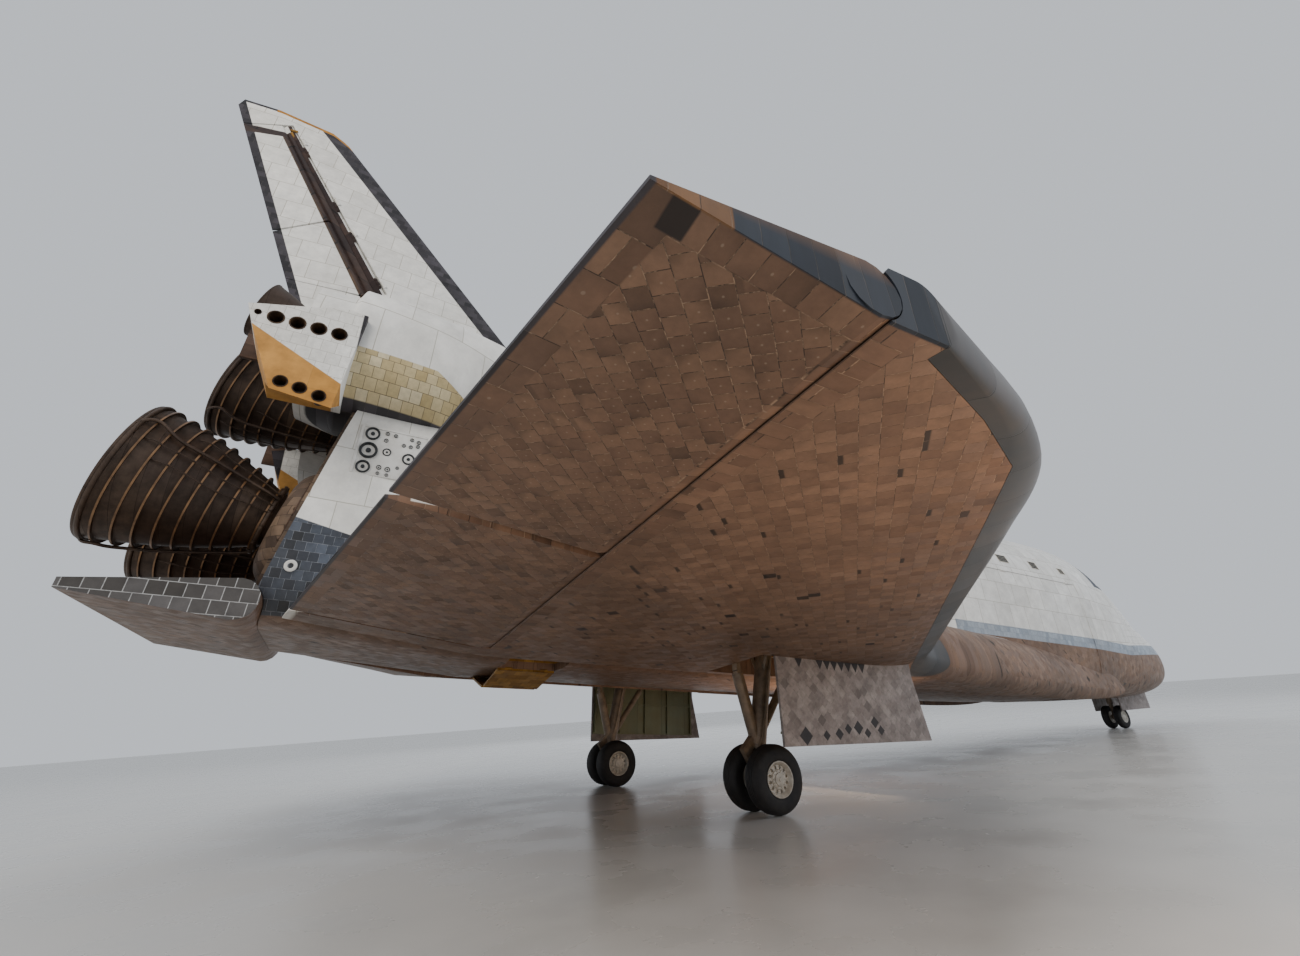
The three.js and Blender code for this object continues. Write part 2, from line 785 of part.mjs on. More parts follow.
function engineDome(engine, { foot, radius, collar, bolts }) {
  const { axis, point } = engineLine(engine);
  const { steps, sides } = domeTop;
  const top = bell.start - touchGap;
  const arc = Array.from({ length: steps + 1 }, (_, i) => {
    const turn = (Math.PI / 2) * (i / steps);
    return [
      foot - collarRim.below + (top - foot + collarRim.below) * Math.sin(turn),
      domeTop.radius + (radius - domeTop.radius) * Math.cos(turn),
    ];
  });
  const shell = turned([[arc[0][0], 0], ...arc, [top, 0]], sides, point(0), axis);
  const { below, above } = collarRim;
  const floor = above - 1.6; // the rim stands above its own floor
  const centre = new THREE.Vector3(...point(foot));
  const rim = turned(
    [[-below, 0], [-below, collar], [above, collar], [above, radius + 0.6], [floor, radius - 1], [floor, 0]],
    sides,
    centre.toArray(),
    baseNormal.toArray(),
  );
  const lugs = Array.from({ length: bolts }, (_, i) => {
    const outward = aroundAxis(baseNormal.toArray(), (360 * (i + 0.5)) / bolts);
    const seat = centre.clone().addScaledVector(outward, (collar + radius) / 2).addScaledVector(baseNormal, above - 1);
    const head = seat.clone().addScaledVector(baseNormal, 1 + lug.height);
    return rod(seat.toArray(), head.toArray(), lug.radius, lug.radius, 4);
  });
  return union([shell, rim, ...lugs]);
}

function heatShield() {
  const plate = fuselage(1480, 1545, 3)
    .intersect(behindBase(touchGap))
    .subtract(behindBase(shieldThickness));
  const shells = union(engines.map((engine, i) => engineDome(engine, domes[i])));
  return plate.add(shells.intersect(behindBase(touchGap))).subtract(flapBar(rod, [-125, 125], runningGap));
}

function bodyFlap() {
  const { station, z, radius, halfSpan, tail, tailHalf } = flap;
  const taper = prism(
    "side",
    [[station, z + radius], [tail, z + tailHalf], [tail, z - tailHalf], [station, z - radius]],
    [-halfSpan, halfSpan],
  );
  return taper.add(flapBar(rod, [-halfSpan, halfSpan]));
}

// Pods on the shoulders

// station, middle y, half width, top, widest height, bottom
const podSections = [
  [1308, 56, 20, 487, 472, 452],
  [1318, 60, 27, 504, 476, 450],
  [1334, 64, 34, 521, 478, 446],
  [1365, 68, 43, 534, 480, 440],
  [1410, 74, 52, 543, 480, 436],
  [1460, 80, 59, 545, 480, 432],
  [1516, 83, 61, 547, 480, 431],
  [1520, 83, 60.8, 535, 480, 432],
  [1545, 84, 58, 534, 482, 438],
];
const podPowers = { above: 2, below: 2.6 };

// station and z of the thruster housing's side, then its span across
const housingSide = [
  [1508, 488], [1521, 489], [1578, 472], [1571, 456], [1547, 412], [1506, 417],
];
const housingSpan = [100, 150];
const sideThrusters = { first: 1522, step: 12.8, count: 4, z: 466.5, radius: 4.6 };
const lowThrusters = { first: 1519, step: 11.4, count: 3, y: 130, radius: 4 };
const maneuverEngine = ["", [1512, 86, 486], 15.8, 6.5];
const maneuverBell = { start: 24, end: 74, throat: 9, exit: 22.5, wall: 1 };

function housingBlock(swell = 0) {
  const middle = [1540, 450];
  const outline = housingSide.map((point) =>
    point.map((value, i) => middle[i] + (value - middle[i]) * (1 + swell)),
  );
  return prism("side", outline, [housingSpan[0] - 60 * swell, housingSpan[1]]);
}

function pod() {
  const { point } = engineLine(maneuverEngine);
  const body = loft(
    podSections.map(([station, middle, halfWidth, top, wide, bottom]) =>
      hoop(station, middle, halfWidth, top, wide, bottom, podPowers.above, podPowers.below),
    ),
  );
  return body
    .subtract(wholeFuselage)
    .subtract(housingBlock(0.0006))
    .subtract(rod(point(maneuverBell.start - touchGap), point(70), 11, 27, 16));
}

function thrusterHousing() {
  const { first, step, count, z, radius } = sideThrusters;
  const sideHoles = Array.from({ length: count }, (_, i) =>
    rod(at(first + i * step, 136, z), at(first + i * step, 152, z), 3.4, radius, 12),
  );
  const lowHoles = Array.from({ length: lowThrusters.count }, (_, i) => {
    const station = lowThrusters.first + i * lowThrusters.step;
    return rod(at(station, lowThrusters.y, 428), at(station, lowThrusters.y, 408), 3, lowThrusters.radius, 10);
  });
  const vernier = rod(at(1563, 140, 459), at(1563, 152, 459), 1.4, 1.8, 6);
  return [...sideHoles, ...lowHoles, vernier].reduce(
    (body, hole) => body.subtract(hole),
    housingBlock().subtract(wholeFuselage),
  );
}

function maneuverNozzle() {
  const { axis, point } = engineLine(maneuverEngine);
  const { start, end, throat, exit, wall } = maneuverBell;
  const radius = (share) => throat + (exit - throat) * (1.5 * share - 0.5 * share ** 2);
  const shares = [0, 0.2, 0.45, 0.7, 1];
  const outside = shares.map((share) => [start + share * (end - start), radius(share)]);
  const inside = shares
    .slice(1)
    .reverse()
    .map((share) => [start + share * (end - start), radius(share) - wall]);
  return turned([[start, 0], ...outside, ...inside, [start + 3, 0]], 16, point(0), axis);
}

// Fin, rudder and speed brake

const finRoot = { z: 500, leading: 1277.88, trailing: 1546.38 };
const finTip = { z: 815.72, leading: 1593.6, trailing: 1702.07 };
const finHinge = { share: 0.6, halfThickness: 0.0525 }; // of the chord
const finTop = 824;

function finChord(z) {
  const share = (z - finRoot.z) / (finTip.z - finRoot.z);
  const leading = finRoot.leading + share * (finTip.leading - finRoot.leading);
  const trailing = finRoot.trailing + share * (finTip.trailing - finRoot.trailing);
  return { leading, trailing, chord: trailing - leading };
}

function finRing(z) {
  const { leading, trailing, chord } = finChord(z);
  const side = [
    [leading + 0.8, 1.3],
    [leading + 3.5, 2.2],
    [leading + finHinge.share * chord, finHinge.halfThickness * chord],
    [trailing, 0.5],
  ];
  const outline = [[leading, 0], ...side, ...side.map(([s, y]) => [s, -y]).reverse()];
  return outline.map(([station, y]) => at(station, y, z));
}

const finHingePoint = (z) => {
  const { leading, chord } = finChord(z);
  return new THREE.Vector3(...at(leading + finHinge.share * chord, 0, z));
};
const finHingeAxis = finHingePoint(finTip.z).sub(finHingePoint(finRoot.z)).normalize();
const finHingeAft = new THREE.Vector3(0, 1, 0).cross(finHingeAxis).normalize();
if (finHingeAft.x > 0) finHingeAft.negate();
// station and z of a point given by its distance up the hinge line and square aft of it
const byHinge = ([up, aft]) => {
  const p = finHingePoint(finRoot.z).addScaledVector(finHingeAxis, up).addScaledVector(finHingeAft, aft);
  return [-p.x, p.z];
};
const spineRadius = (up) => {
  const p = finHingePoint(finRoot.z).addScaledVector(finHingeAxis, up);
  return finHinge.halfThickness * finChord(p.z).chord - 0.3;
};
const spineEnds = [140, 371.6];
const rudderSplit = 240;
const panelRay = degrees(38); // outer skin of a panel starts on this ray from the hinge line
const belowRudder = (aft) => 143.2 + 0.695 * (aft - 12.5);
const aboveRudder = (aft) => 371.2 + 0.236 * aft;
const farAft = 95;
// The panels' outer corners swing aft as they turn, so the fin stands back from them by the hinge line.
const swingRoom = { foot: 11.4, knee: 30.8, top: 1.9 };

function spine(make, [from, to]) {
  const end = (up) => finHingePoint(finRoot.z).addScaledVector(finHingeAxis, up).toArray();
  return make(end(from), end(to), spineRadius(from), spineRadius(to), hingeSides);
}

const finBlank = loft([finRing(490), finRing(finTop)])
  .subtract(wholeFuselage)
  .subtract(prism("side", [[1484, 500.1], [1600, 540], [1600, 480], [1484, 480]], [-30, 30]))
  .subtract(
    prism(
      "side",
      [[1697, finTop + 3], [1704, 805], [1730, 805], [1730, finTop + 3]],
      [-20, 20],
    ),
  )
  .subtract(
    prism(
      "side",
      [[1580, 804], [1592, 814], [1612, finTop], [1612, finTop + 4], [1570, finTop + 4]],
      [-20, 20],
    ),
  );

const chuteSide = [[1490, 503.5], [1562, 528.5], [1566, 556], [1496, 552]];
const chuteHalfWidth = 15;

function chuteBlock(gap) {
  const [width, swell] = [chuteHalfWidth + gap, gap / 20];
  const outline = chuteSide.map(([s, z]) => [1528 + (s - 1528) * (1 + swell), 535 + (z - 535) * (1 + swell)]);
  return prism("side", outline, [-width, width]);
}

const hingeFairings = [152, 221, 263, 348]; // distances up the hinge line
const wallShare = -0.85; // of the spine's radius: how far the fin's wall stands ahead of the hinge line
const fairing = { half: 4.2, radius: 1.9, ahead: 1.9, sideShare: 0.93 };

// Small fairings along the front edge of the hinge strip, on both sides of the fin.
function stripFairings() {
  const foot = finHingePoint(finRoot.z);
  return bothSides(
    union(
      hingeFairings.map((up) => {
        const radius = spineRadius(up);
        const end = (shift) =>
          foot
            .clone()
            .addScaledVector(finHingeAxis, up + shift)
            .addScaledVector(finHingeAft, wallShare * radius - fairing.ahead)
            .add(new THREE.Vector3(0, fairing.sideShare * radius, 0))
            .toArray();
        return rod(end(-fairing.half), end(fairing.half), fairing.radius, fairing.radius, 6);
      }),
    ),
  );
}

function finBody() {
  const [low, high] = [spineEnds[0] - 0.3, aboveRudder(0) + swingRoom.top];
  const room = prism(
    "side",
    [
      [low, wallShare * spineRadius(spineEnds[0])],
      [low, swingRoom.foot],
      [belowRudder(swingRoom.knee) - 0.9, swingRoom.knee],
      [belowRudder(farAft) - 0.4, farAft],
      [aboveRudder(farAft) + 0.4, farAft],
      [high, 0],
      [high, wallShare * spineRadius(spineEnds[1])],
    ].map(byHinge),
    [-30, 30],
  );
  return finBlank
    .subtract(room)
    .add(stripFairings())
    .subtract(spine(socket, [low, high]))
    .subtract(chuteBlock(touchGap));
}

function rudderPanel(lowEdge, highEdge) {
  const area = prism(
    "side",
    [[lowEdge(0), 0], [lowEdge(farAft), farAft], [highEdge(farAft), farAft], [highEdge(0), 0]].map(byHinge),
    [runningGap / 2, 30],
  );
  const inward = finHingeAft.clone().multiplyScalar(Math.sin(panelRay));
  inward.y -= Math.cos(panelRay);
  const offset = inward.dot(finHingePoint(finRoot.z));
  return finBlank
    .intersect(area)
    .trimByPlane(inward.toArray(), offset)
    .subtract(spine(socket, [120, 390]));
}

// Landing gear

const floorAt = (station) => floorAtMainAxle + (mainAxleStation - station) * Math.tan(noseDown);
const wheelSides = 24;
const rimSides = 16;
const mainWheel = { radius: 22.25, width: 16, bead: 10.5, offset: 14, axle: 3, y: 136 };
const noseWheel = { radius: 16, width: 8.8, bead: 7.5, offset: 8.6, axle: 1.8, y: 0 };

// The height of an axle whose wheels stand on the floor on one of their flat sides.
function axleHeight(station, radius) {
  return floorAt(station) + (radius * Math.cos(Math.PI / wheelSides)) / Math.cos(noseDown);
}

const mainAxle = at(mainAxleStation, mainWheel.y, axleHeight(mainAxleStation, mainWheel.radius));
const noseAxle = at(noseAxleStation, 0, axleHeight(noseAxleStation, noseWheel.radius));

// Turned about the axle, with a flat side square to the floor underneath.
function wheelTurned(profile, axle, sides = wheelSides) {
  const upright = turned(profile, sides, [0, 0, 0], [0, 1, 0], Math.PI / sides);
  return upright.rotate([0, -THREE.MathUtils.radToDeg(noseDown), 0]).translate(axle);
}

function tyre({ radius, width, bead, offset }, axle, sideways) {
  const half = width / 2;
  const side = [
    [0.45, radius],
    [0.86, radius - 0.06 * radius],
    [1, radius - 0.22 * radius],
    [0.8, bead],
  ];
  const profile = [
    ...side.map(([share, r]) => [share * half, r]),
    ...side.map(([share, r]) => [-share * half, r]).reverse(),
  ];
  profile.push(profile[0]);
  const centre = axle.slice();
  centre[1] += sideways * offset;
  return wheelTurned(profile, centre);
}

// Both rims of a pair on their common axle.
function wheelPair({ width, bead, offset, axle: axleRadius }, axle) {
  const [inner, outer] = [offset - 0.4 * width, offset + 0.4 * width];
  const rim = bead * Math.cos(Math.PI / wheelSides) - touchGap;
  const half = [
    [inner, axleRadius],
    [inner - 0.2, rim],
    [outer + 0.2, rim],
    [outer - 1.2, rim - 1.2],
    [outer - 0.6, 0.42 * bead],
    [outer + 0.6, 0.36 * bead],
    [outer + 0.6, 0],
  ];
  const profile = [...half.map(([y, r]) => [-y, r]).reverse(), ...half];
  return wheelTurned(profile, axle, rimSides);
}

const mainHub = { halfWidth: 7, radius: 6, brakeInner: 4.6, brakeRadius: 8.4 };

function axleBore(axle, { axle: radius }, halfLength) {
  const [x, y, z] = axle;
  return socket([x, y - halfLength, z], [x, y + halfLength, z], radius, radius, 12);
}

function mainLeg() {
  const y = mainWheel.y;
  const [x, , z] = mainAxle;
  const ceiling = mainWell.ceiling - touchGap;
  const { halfWidth, radius, brakeInner, brakeRadius } = mainHub;
  const hub = rod([x, y - halfWidth, z], [x, y + halfWidth, z], radius, radius, 12);
  const brakes = [-1, 1].map((way) =>
    rod([x, y + way * brakeInner, z], [x, y + way * halfWidth, z], brakeRadius, brakeRadius, 12),
  );
  const elbow = at(1175, y, 214);
  const members = [
    rod(mainAxle, elbow, 4.2, 4.2, 10),
    rod(elbow, at(1158, y, 300), 5.6, 6.4, 10),
    rod(at(1176, y, 218), at(1190, y, 268), 3.6, 3.6, 6),
    rod(at(1190, y, 268), at(1191, y, 306), 3.6, 3.6, 6),
    rod(at(1171, y, 224), at(1138, y, 270), 2.2, 2.2, 6),
    rod(at(1138, y, 270), at(1130, y, 306), 2.2, 2.2, 6),
    rod(at(1166, y, 262), at(1166, y - 24, 306), 2.2, 2.2, 6),
    rod(at(1166, y, 262), at(1166, y + 22, 306), 2.2, 2.2, 6),
  ];
  const topBeam = block([1124, 1195], [y - 7, y + 7], [302, ceiling]);
  const crossBeam = block([1150, 1178], [y - 28, y + 26], [303, ceiling]);
  const torqueLinks = prism(
    "side",
    [[1178, 226], [1190, 214], [1181, 200], [1175, 202], [1182, 213], [1172, 222]],
    [y - 2.5, y + 2.5],
  );
  return union([hub, ...brakes, ...members, topBeam, crossBeam, torqueLinks]).subtract(
    axleBore(mainAxle, mainWheel, 12),
  );
}

function mainGearDoor() {
  const wall = mainWell.ys[1] - touchGap;
  return prism(
    "side",
    [[1041, 292], [1184, 292], [1182, 216], [1031, 221], [1041, 268]],
    [wall - 2.4, wall],
  );
}

const noseStrut = { top: at(383.5, 0, 312), radius: 4.4, pistonRadius: 2.8 };
const strutSplit = 0.66; // share of the way from the axle to the top where the sliding part ends
const seatGapShare = touchGap / 50; // the touching gap as a share of the distance from axle to top
// A point on the nose strut, a share of the way from its axle to its top.
const onNoseStrut = (share) => noseAxle.map((v, i) => v + share * (noseStrut.top[i] - v));

function noseLeg() {
  const ceiling = noseWell.ceiling - touchGap;
  const members = [
    rod(onNoseStrut(strutSplit), noseStrut.top, noseStrut.radius, noseStrut.radius, 12),
    rod(at(381, 0, 300), at(340, 12, 318), 1.8, 1.8, 8),
    rod(at(381, 0, 300), at(340, -12, 318), 1.8, 1.8, 8),
  ];
  const beam = block([375, 391], [-17, 17], [306, ceiling]);
  const footFront = block([334, 346], [-17, 17], [314, ceiling]);
  return union([...members, beam, footFront]);
}

function noseFork() {
  const [x, , z] = noseAxle;
  const seat = onNoseStrut(strutSplit - seatGapShare);
  const hub = rod([x, -3.6, z], [x, 3.6, z], 3.6, 3.6, 12);
  const piston = rod(noseAxle, seat, noseStrut.pistonRadius, noseStrut.pistonRadius, 12);
  const collar = rod(
    onNoseStrut(0.33),
    onNoseStrut(0.48),
    3.9,
    3.9,
    12,
  );
  return union([hub, piston, collar]).subtract(axleBore(noseAxle, noseWheel, 12));
}

function noseGearDoor() {
  const wall = noseWell.halfWidth - touchGap;
  return prism(
    "side",
    [[305, 306], [391, 300], [391, 264], [305, 270]],
    [wall - 1.6, wall],
  );
}

// Assembly

place("nose_cap", noseCap(), "carbon");
place("forward_fuselage", forwardFuselage(), "whiteTile");
place("forward_thruster_module", forwardModule(), "whiteTile");
place("windscreen", windscreen(), "glass");
place("crew_hatch", crewHatch(), "whiteTile");
place("mid_fuselage", midFuselage(), "whiteTile");
placePair("payload_door", payloadDoor(), "whiteTile");
placePair("radiator", radiator(), "radiator");
placePair("wing", wing(), "blackTile");
placePair("wing_leading_edge", leadingEdge(), "carbon");
for (const [name, from, to] of elevons) placePair(`elevon_${name}`, elevon(from, to), "blackTile");
place("aft_fuselage", aftFuselage(), "whiteTile");
place("base_heat_shield", heatShield(), "shieldMetal");
for (const engine of engines) place(`main_engine_${engine[0]}`, engineBell(engine), "nozzle");
place("body_flap", bodyFlap(), "blackTile");
placePair("umbilical_door", umbilicalDoor(), "shieldMetal");
placePair("pod", pod(), "whiteTile");
placePair("thruster_housing", thrusterHousing(), "whiteTile");
placePair("maneuver_nozzle", maneuverNozzle(), "nozzle");
place("fin", finBody(), "whiteTile");
place("chute_housing", chuteBlock(0), "whiteTile");
place("rudder_spine", spine(rod, spineEnds), "seal");
placePair("rudder_panel_lower", rudderPanel(belowRudder, () => rudderSplit - 1), "whiteTile");
placePair("rudder_panel_upper", rudderPanel(() => rudderSplit + 1, aboveRudder), "whiteTile");
placePair("main_gear_leg", mainLeg(), "steel");
placePair("main_wheels", wheelPair(mainWheel, mainAxle), "hub");
placePair("main_tyre_outer", tyre(mainWheel, mainAxle, 1), "tyre");
placePair("main_tyre_inner", tyre(mainWheel, mainAxle, -1), "tyre");
placePair("main_gear_door", mainGearDoor(), "blackTile");
place("nose_gear_leg", noseLeg(), "steel");
place("nose_gear_fork", noseFork(), "steel");
place("nose_wheels", wheelPair(noseWheel, noseAxle), "hub");
placePair("nose_tyre", tyre(noseWheel, noseAxle, 1), "tyre");
placePair("nose_gear_door", noseGearDoor(), "blackTile");

airframe.scale.setScalar(inch);
airframe.rotation.y = noseDown;
const group = new THREE.Group();
group.add(airframe);
group.updateMatrixWorld(true);
const bounds = new THREE.Box3().setFromObject(airframe, true);
const middle = bounds.getCenter(new THREE.Vector3());
airframe.position.set(-middle.x, -middle.y, -bounds.min.z);

export default group;
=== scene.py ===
import math

import bmesh
import bpy
from mathutils import Matrix, Vector


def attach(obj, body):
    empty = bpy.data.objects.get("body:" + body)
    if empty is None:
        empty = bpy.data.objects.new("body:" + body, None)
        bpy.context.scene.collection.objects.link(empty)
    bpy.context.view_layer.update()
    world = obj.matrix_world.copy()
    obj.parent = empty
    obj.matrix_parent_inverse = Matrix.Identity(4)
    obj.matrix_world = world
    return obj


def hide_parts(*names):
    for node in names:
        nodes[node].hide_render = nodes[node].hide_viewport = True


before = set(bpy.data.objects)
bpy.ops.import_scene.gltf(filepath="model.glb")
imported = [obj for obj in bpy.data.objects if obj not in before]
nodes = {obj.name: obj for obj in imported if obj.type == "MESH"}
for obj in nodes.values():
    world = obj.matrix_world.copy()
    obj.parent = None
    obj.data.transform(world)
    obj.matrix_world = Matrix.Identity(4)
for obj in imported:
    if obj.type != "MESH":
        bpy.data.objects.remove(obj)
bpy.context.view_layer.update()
scene = bpy.context.scene

# The airframe is measured in inches on its own drawing: stations count aft from ahead of the nose,
# y is positive to port and z is height. It stands nose down, so one matrix places it in the packed
# model's frame.
inch = 0.0254
noseDown = math.radians(4.8)
bodyOrigin = (23.294786, 0.0, -6.884346)
toModel = Matrix.Translation(bodyOrigin) @ Matrix.Rotation(noseDown, 4, "Y") @ Matrix.Scale(inch, 4)


# Camera and light

view = {"place": (-13.5049, -13.4029, 1.841), "focal": 15.5164, "shift": -0.0344,
        "right": (-0.885197, 0.465111, 0.009905), "down": (-0.229501, -0.418067, -0.878948)}


def addCamera():
    turn = Matrix.Rotation(noseDown, 3, "Y") @ Matrix.Diagonal((-1, -1, 1))
    right = (turn @ Vector(view["right"])).normalized()
    up = -(turn @ Vector(view["down"])).normalized()
    back = right.cross(up)
    data = bpy.data.cameras.new("photoCamera")
    data.lens = view["focal"]
    data.sensor_width = 36
    data.shift_y = view["shift"]
    data.clip_end = 400
    camera = bpy.data.objects.new("photoCamera", data)
    camera.matrix_world = Matrix.Translation(view["place"]) @ Matrix((right, up, back)).transposed().to_4x4()
    scene.collection.objects.link(camera)
    scene.camera = camera


light = {"sky": ("#e6ebf2", 0.85), "lamps": [
    # name, place, aimed at, size, watts, colour
    ("keyHigh", (-34, -26, 26), (-8, 0, 6), 22, 9000, "#fff6ea"),
    ("fillPort", (10, 34, 24), (0, 0, 5), 26, 5200, "#eef4ff"),
    ("noseFill", (34, -20, 16), (8, 0, 4), 20, 5000, "#eef4ff"),
    ("lowWing", (-7.5, -13.5, 0.25), (-8.5, -8.2, 3.4), 3.2, 330, "#ffd9b0"),
    ("lowBelly", (-3.0, -2.0, 0.15), (-5, -2, 3), 4.5, 260, "#ffdcb8"),
]}


def addLight():
    world = bpy.data.worlds.new("studio")
    scene.world = world
    world.use_nodes = True
    sky, strength = light["sky"]
    world.node_tree.nodes["Background"].inputs[0].default_value = colour(sky)
    world.node_tree.nodes["Background"].inputs[1].default_value = strength
    for name, place, target, size, watts, tint in light["lamps"]:
        lamp = bpy.data.lights.new(name, "AREA")
        lamp.shape = "DISK"
        lamp.size = size
        lamp.energy = watts
        lamp.color = colour(tint)[:3]
        holder = bpy.data.objects.new(name, lamp)
        holder.location = place
        holder.rotation_euler = (Vector(target) - Vector(place)).to_track_quat("-Z", "Y").to_euler()
        holder.visible_camera = False
        holder.visible_glossy = False
        scene.collection.objects.link(holder)


# Node helpers

def colour(text):  # an sRGB hex value as linear red, green, blue and alpha
    parts = [int(text[i:i + 2], 16) / 255 for i in (1, 3, 5)]
    return tuple(c / 12.92 if c <= 0.04045 else ((c + 0.055) / 1.055) ** 2.4 for c in parts) + (1.0,)


def addNode(tree, kind, inputs=(), stops=(), **settings):
    node = tree.nodes.new("ShaderNode" + kind)
    for name, value in settings.items():
        setattr(node, name, value)
    if stops:
        ramp = node.color_ramp.elements
        while len(ramp) < len(stops):
            ramp.new(0.5)
        for element, (place, tint) in zip(ramp, stops):
            element.position = place
            element.color = colour(tint)
    shown = [socket for socket in node.inputs if socket.enabled]
    pairs = inputs.items() if isinstance(inputs, dict) else enumerate(inputs)
    for key, value in pairs:
        socket = shown[key] if isinstance(key, int) else next(s for s in shown if s.name == key)
        if isinstance(value, bpy.types.Node):
            value = next(s for s in value.outputs if s.enabled)
        if isinstance(value, bpy.types.NodeSocket):
            tree.links.new(value, socket)
        elif isinstance(value, str):
            socket.default_value = colour(value)
        elif value is not None:
            socket.default_value = value
    return node


def reckon(tree, kind, *values):  # one sum or product of a material
    return addNode(tree, "Math", values, operation=kind)


# One group lays out rows of tiles on a plane measured in tiles, with every other row set over by
# half a tile. It gives each tile two random numbers, its face, a slight tilt of its own, the mark at
# its middle and the strip of dark gap filler that a few tiles have along one edge.
def makeTileRows():
    group = bpy.data.node_groups.new("tileRows", "ShaderNodeTree")
    group.interface.new_socket("Place", in_out="INPUT", socket_type="NodeSocketVector")
    group.interface.new_socket("Gap", in_out="INPUT", socket_type="NodeSocketFloat")
    for name in ("Random", "Other", "Face", "Tilt", "Dot", "Dash"):
        group.interface.new_socket(name, in_out="OUTPUT", socket_type="NodeSocketFloat")
    given = group.nodes.new("NodeGroupInput")
    result = group.nodes.new("NodeGroupOutput")

    def count(kind, *values):
        return reckon(group, kind, *values)

    def step(value, low, high):
        return addNode(group, "MapRange", [value, low, high, 0.0, 1.0])

    parts = addNode(group, "SeparateXYZ", [given.outputs[0]])
    row = count("FLOOR", parts.outputs[1])
    setOver = count("MULTIPLY", count("FLOORED_MODULO", row, 2.0), 0.5)
    place = count("ADD", parts.outputs[0], setOver)
    cell = count("FLOOR", place)
    u, v = count("SUBTRACT", place, cell), count("SUBTRACT", parts.outputs[1], row)
    edge = count("MINIMUM", count("MINIMUM", u, count("SUBTRACT", 1.0, u)),
                 count("MINIMUM", v, count("SUBTRACT", 1.0, v)))
    face = addNode(group, "MapRange", [edge, count("MULTIPLY", given.outputs[1], 0.35), given.outputs[1], 0.0, 1.0],
                   interpolation_type="SMOOTHSTEP")
    name = addNode(group, "CombineXYZ", [cell, row, parts.outputs[2]])
    chance = addNode(group, "TexWhiteNoise", [name], noise_dimensions="3D")
    chances = addNode(group, "SeparateColor", [chance.outputs[1]])
    fromMiddle = count("SUBTRACT", u, 0.5), count("SUBTRACT", v, 0.5)
    tiltU = count("MULTIPLY", count("SUBTRACT", chances.outputs[0], 0.5), fromMiddle[0])
    tiltV = count("MULTIPLY", count("SUBTRACT", chances.outputs[1], 0.5), fromMiddle[1])
    away = count("SQRT", count("ADD", count("POWER", fromMiddle[0], 2.0), count("POWER", fromMiddle[1], 2.0)))
    dot = count("MULTIPLY", step(away, 0.065, 0.035), step(chances.outputs[2], 0.4, 0.42))
    dash = count("MULTIPLY", step(v, 0.34, 0.24), step(chances.outputs[1], 0.953, 0.955))
    for socket, value in zip(result.inputs, (chance.outputs[0], chances.outputs[2], face.outputs[0],
                                             count("ADD", tiltU, tiltV).outputs[0], dot.outputs[0], dash.outputs[0])):
        group.links.new(value, socket)
    return group


tileRows = makeTileRows()


# Finishes. Each is a list of layers, and a layer covers the places where station, distance from the
# centre plane and height satisfy every half space [a, b, c, d]: a*station + b*aside + c*height > d.

def bodyPlace(tree):
    here = addNode(tree, "TexCoord")
    local = addNode(tree, "Mapping", {"Vector": here.outputs["Object"], "Location": bodyOrigin,
                                      "Rotation": (0, noseDown, 0), "Scale": (inch,) * 3},
                    vector_type="TEXTURE")
    parts = addNode(tree, "SeparateXYZ", [local])
    station = reckon(tree, "MULTIPLY", parts.outputs[0], -1.0)
    aside = reckon(tree, "ABSOLUTE", parts.outputs[1])
    return {"station": station, "aside": aside, "height": parts.outputs[2], "local": local}


widestLine = 396.0  # height of the body's widest line, round which the blankets are laid
roundReach = 100  # distance from that line at which their rows have their true height
faceAxes = {"belly": ((1, 0, 0), (0, 1, 0)), "side": ((1, 0, 0), (0, 0, 1)), "front": ((0, 1, 0), (0, 0, 1))}


def spread(tree, place, layer, seed):  # the plane of a layer's rows, measured in tiles
    size = tileSize(layer)
    face = layer.get("face", "side")
    if face == "round":  # inches along the skin above and below the body's widest line
        up = reckon(tree, "SUBTRACT", place["height"], widestLine)
        angle = reckon(tree, "ARCTAN2", up, place["aside"])
        flat = addNode(tree, "CombineXYZ", [place["station"], angle, 0.0])
        return addNode(tree, "Mapping", {"Vector": flat, "Location": (0, 0, seed),
                                         "Scale": (1 / size[0], roundReach / size[1], 1)}, vector_type="POINT")
    first, second = (Vector(axis) for axis in (faceAxes[face] if isinstance(face, str) else face))
    turn = math.radians(layer.get("turn", 0))
    spot = addNode(tree, "CombineXYZ", [place["station"], place["aside"], place["height"]])
    parts = []
    for axis, width, shift in ((math.cos(turn) * first + math.sin(turn) * second, size[0], 0),
                               (math.cos(turn) * second - math.sin(turn) * first, size[1], 1)):
        reach = addNode(tree, "VectorMath", [spot, tuple(axis / width)], operation="DOT_PRODUCT")
        start = layer.get("start", (0, 0))[shift] / width
        parts.append(reckon(tree, "SUBTRACT", reach.outputs["Value"], start))
    return addNode(tree, "CombineXYZ", [parts[0], parts[1], seed])


def tintStops(tints):  # plain colours are spread evenly over the tiles' random numbers
    return tints if isinstance(tints, list) else [(i / (len(tints) - 1), tint) for i, tint in enumerate(tints)]


def tileSize(layer):
    return layer["size"] if isinstance(layer["size"], tuple) else (layer["size"],) * 2


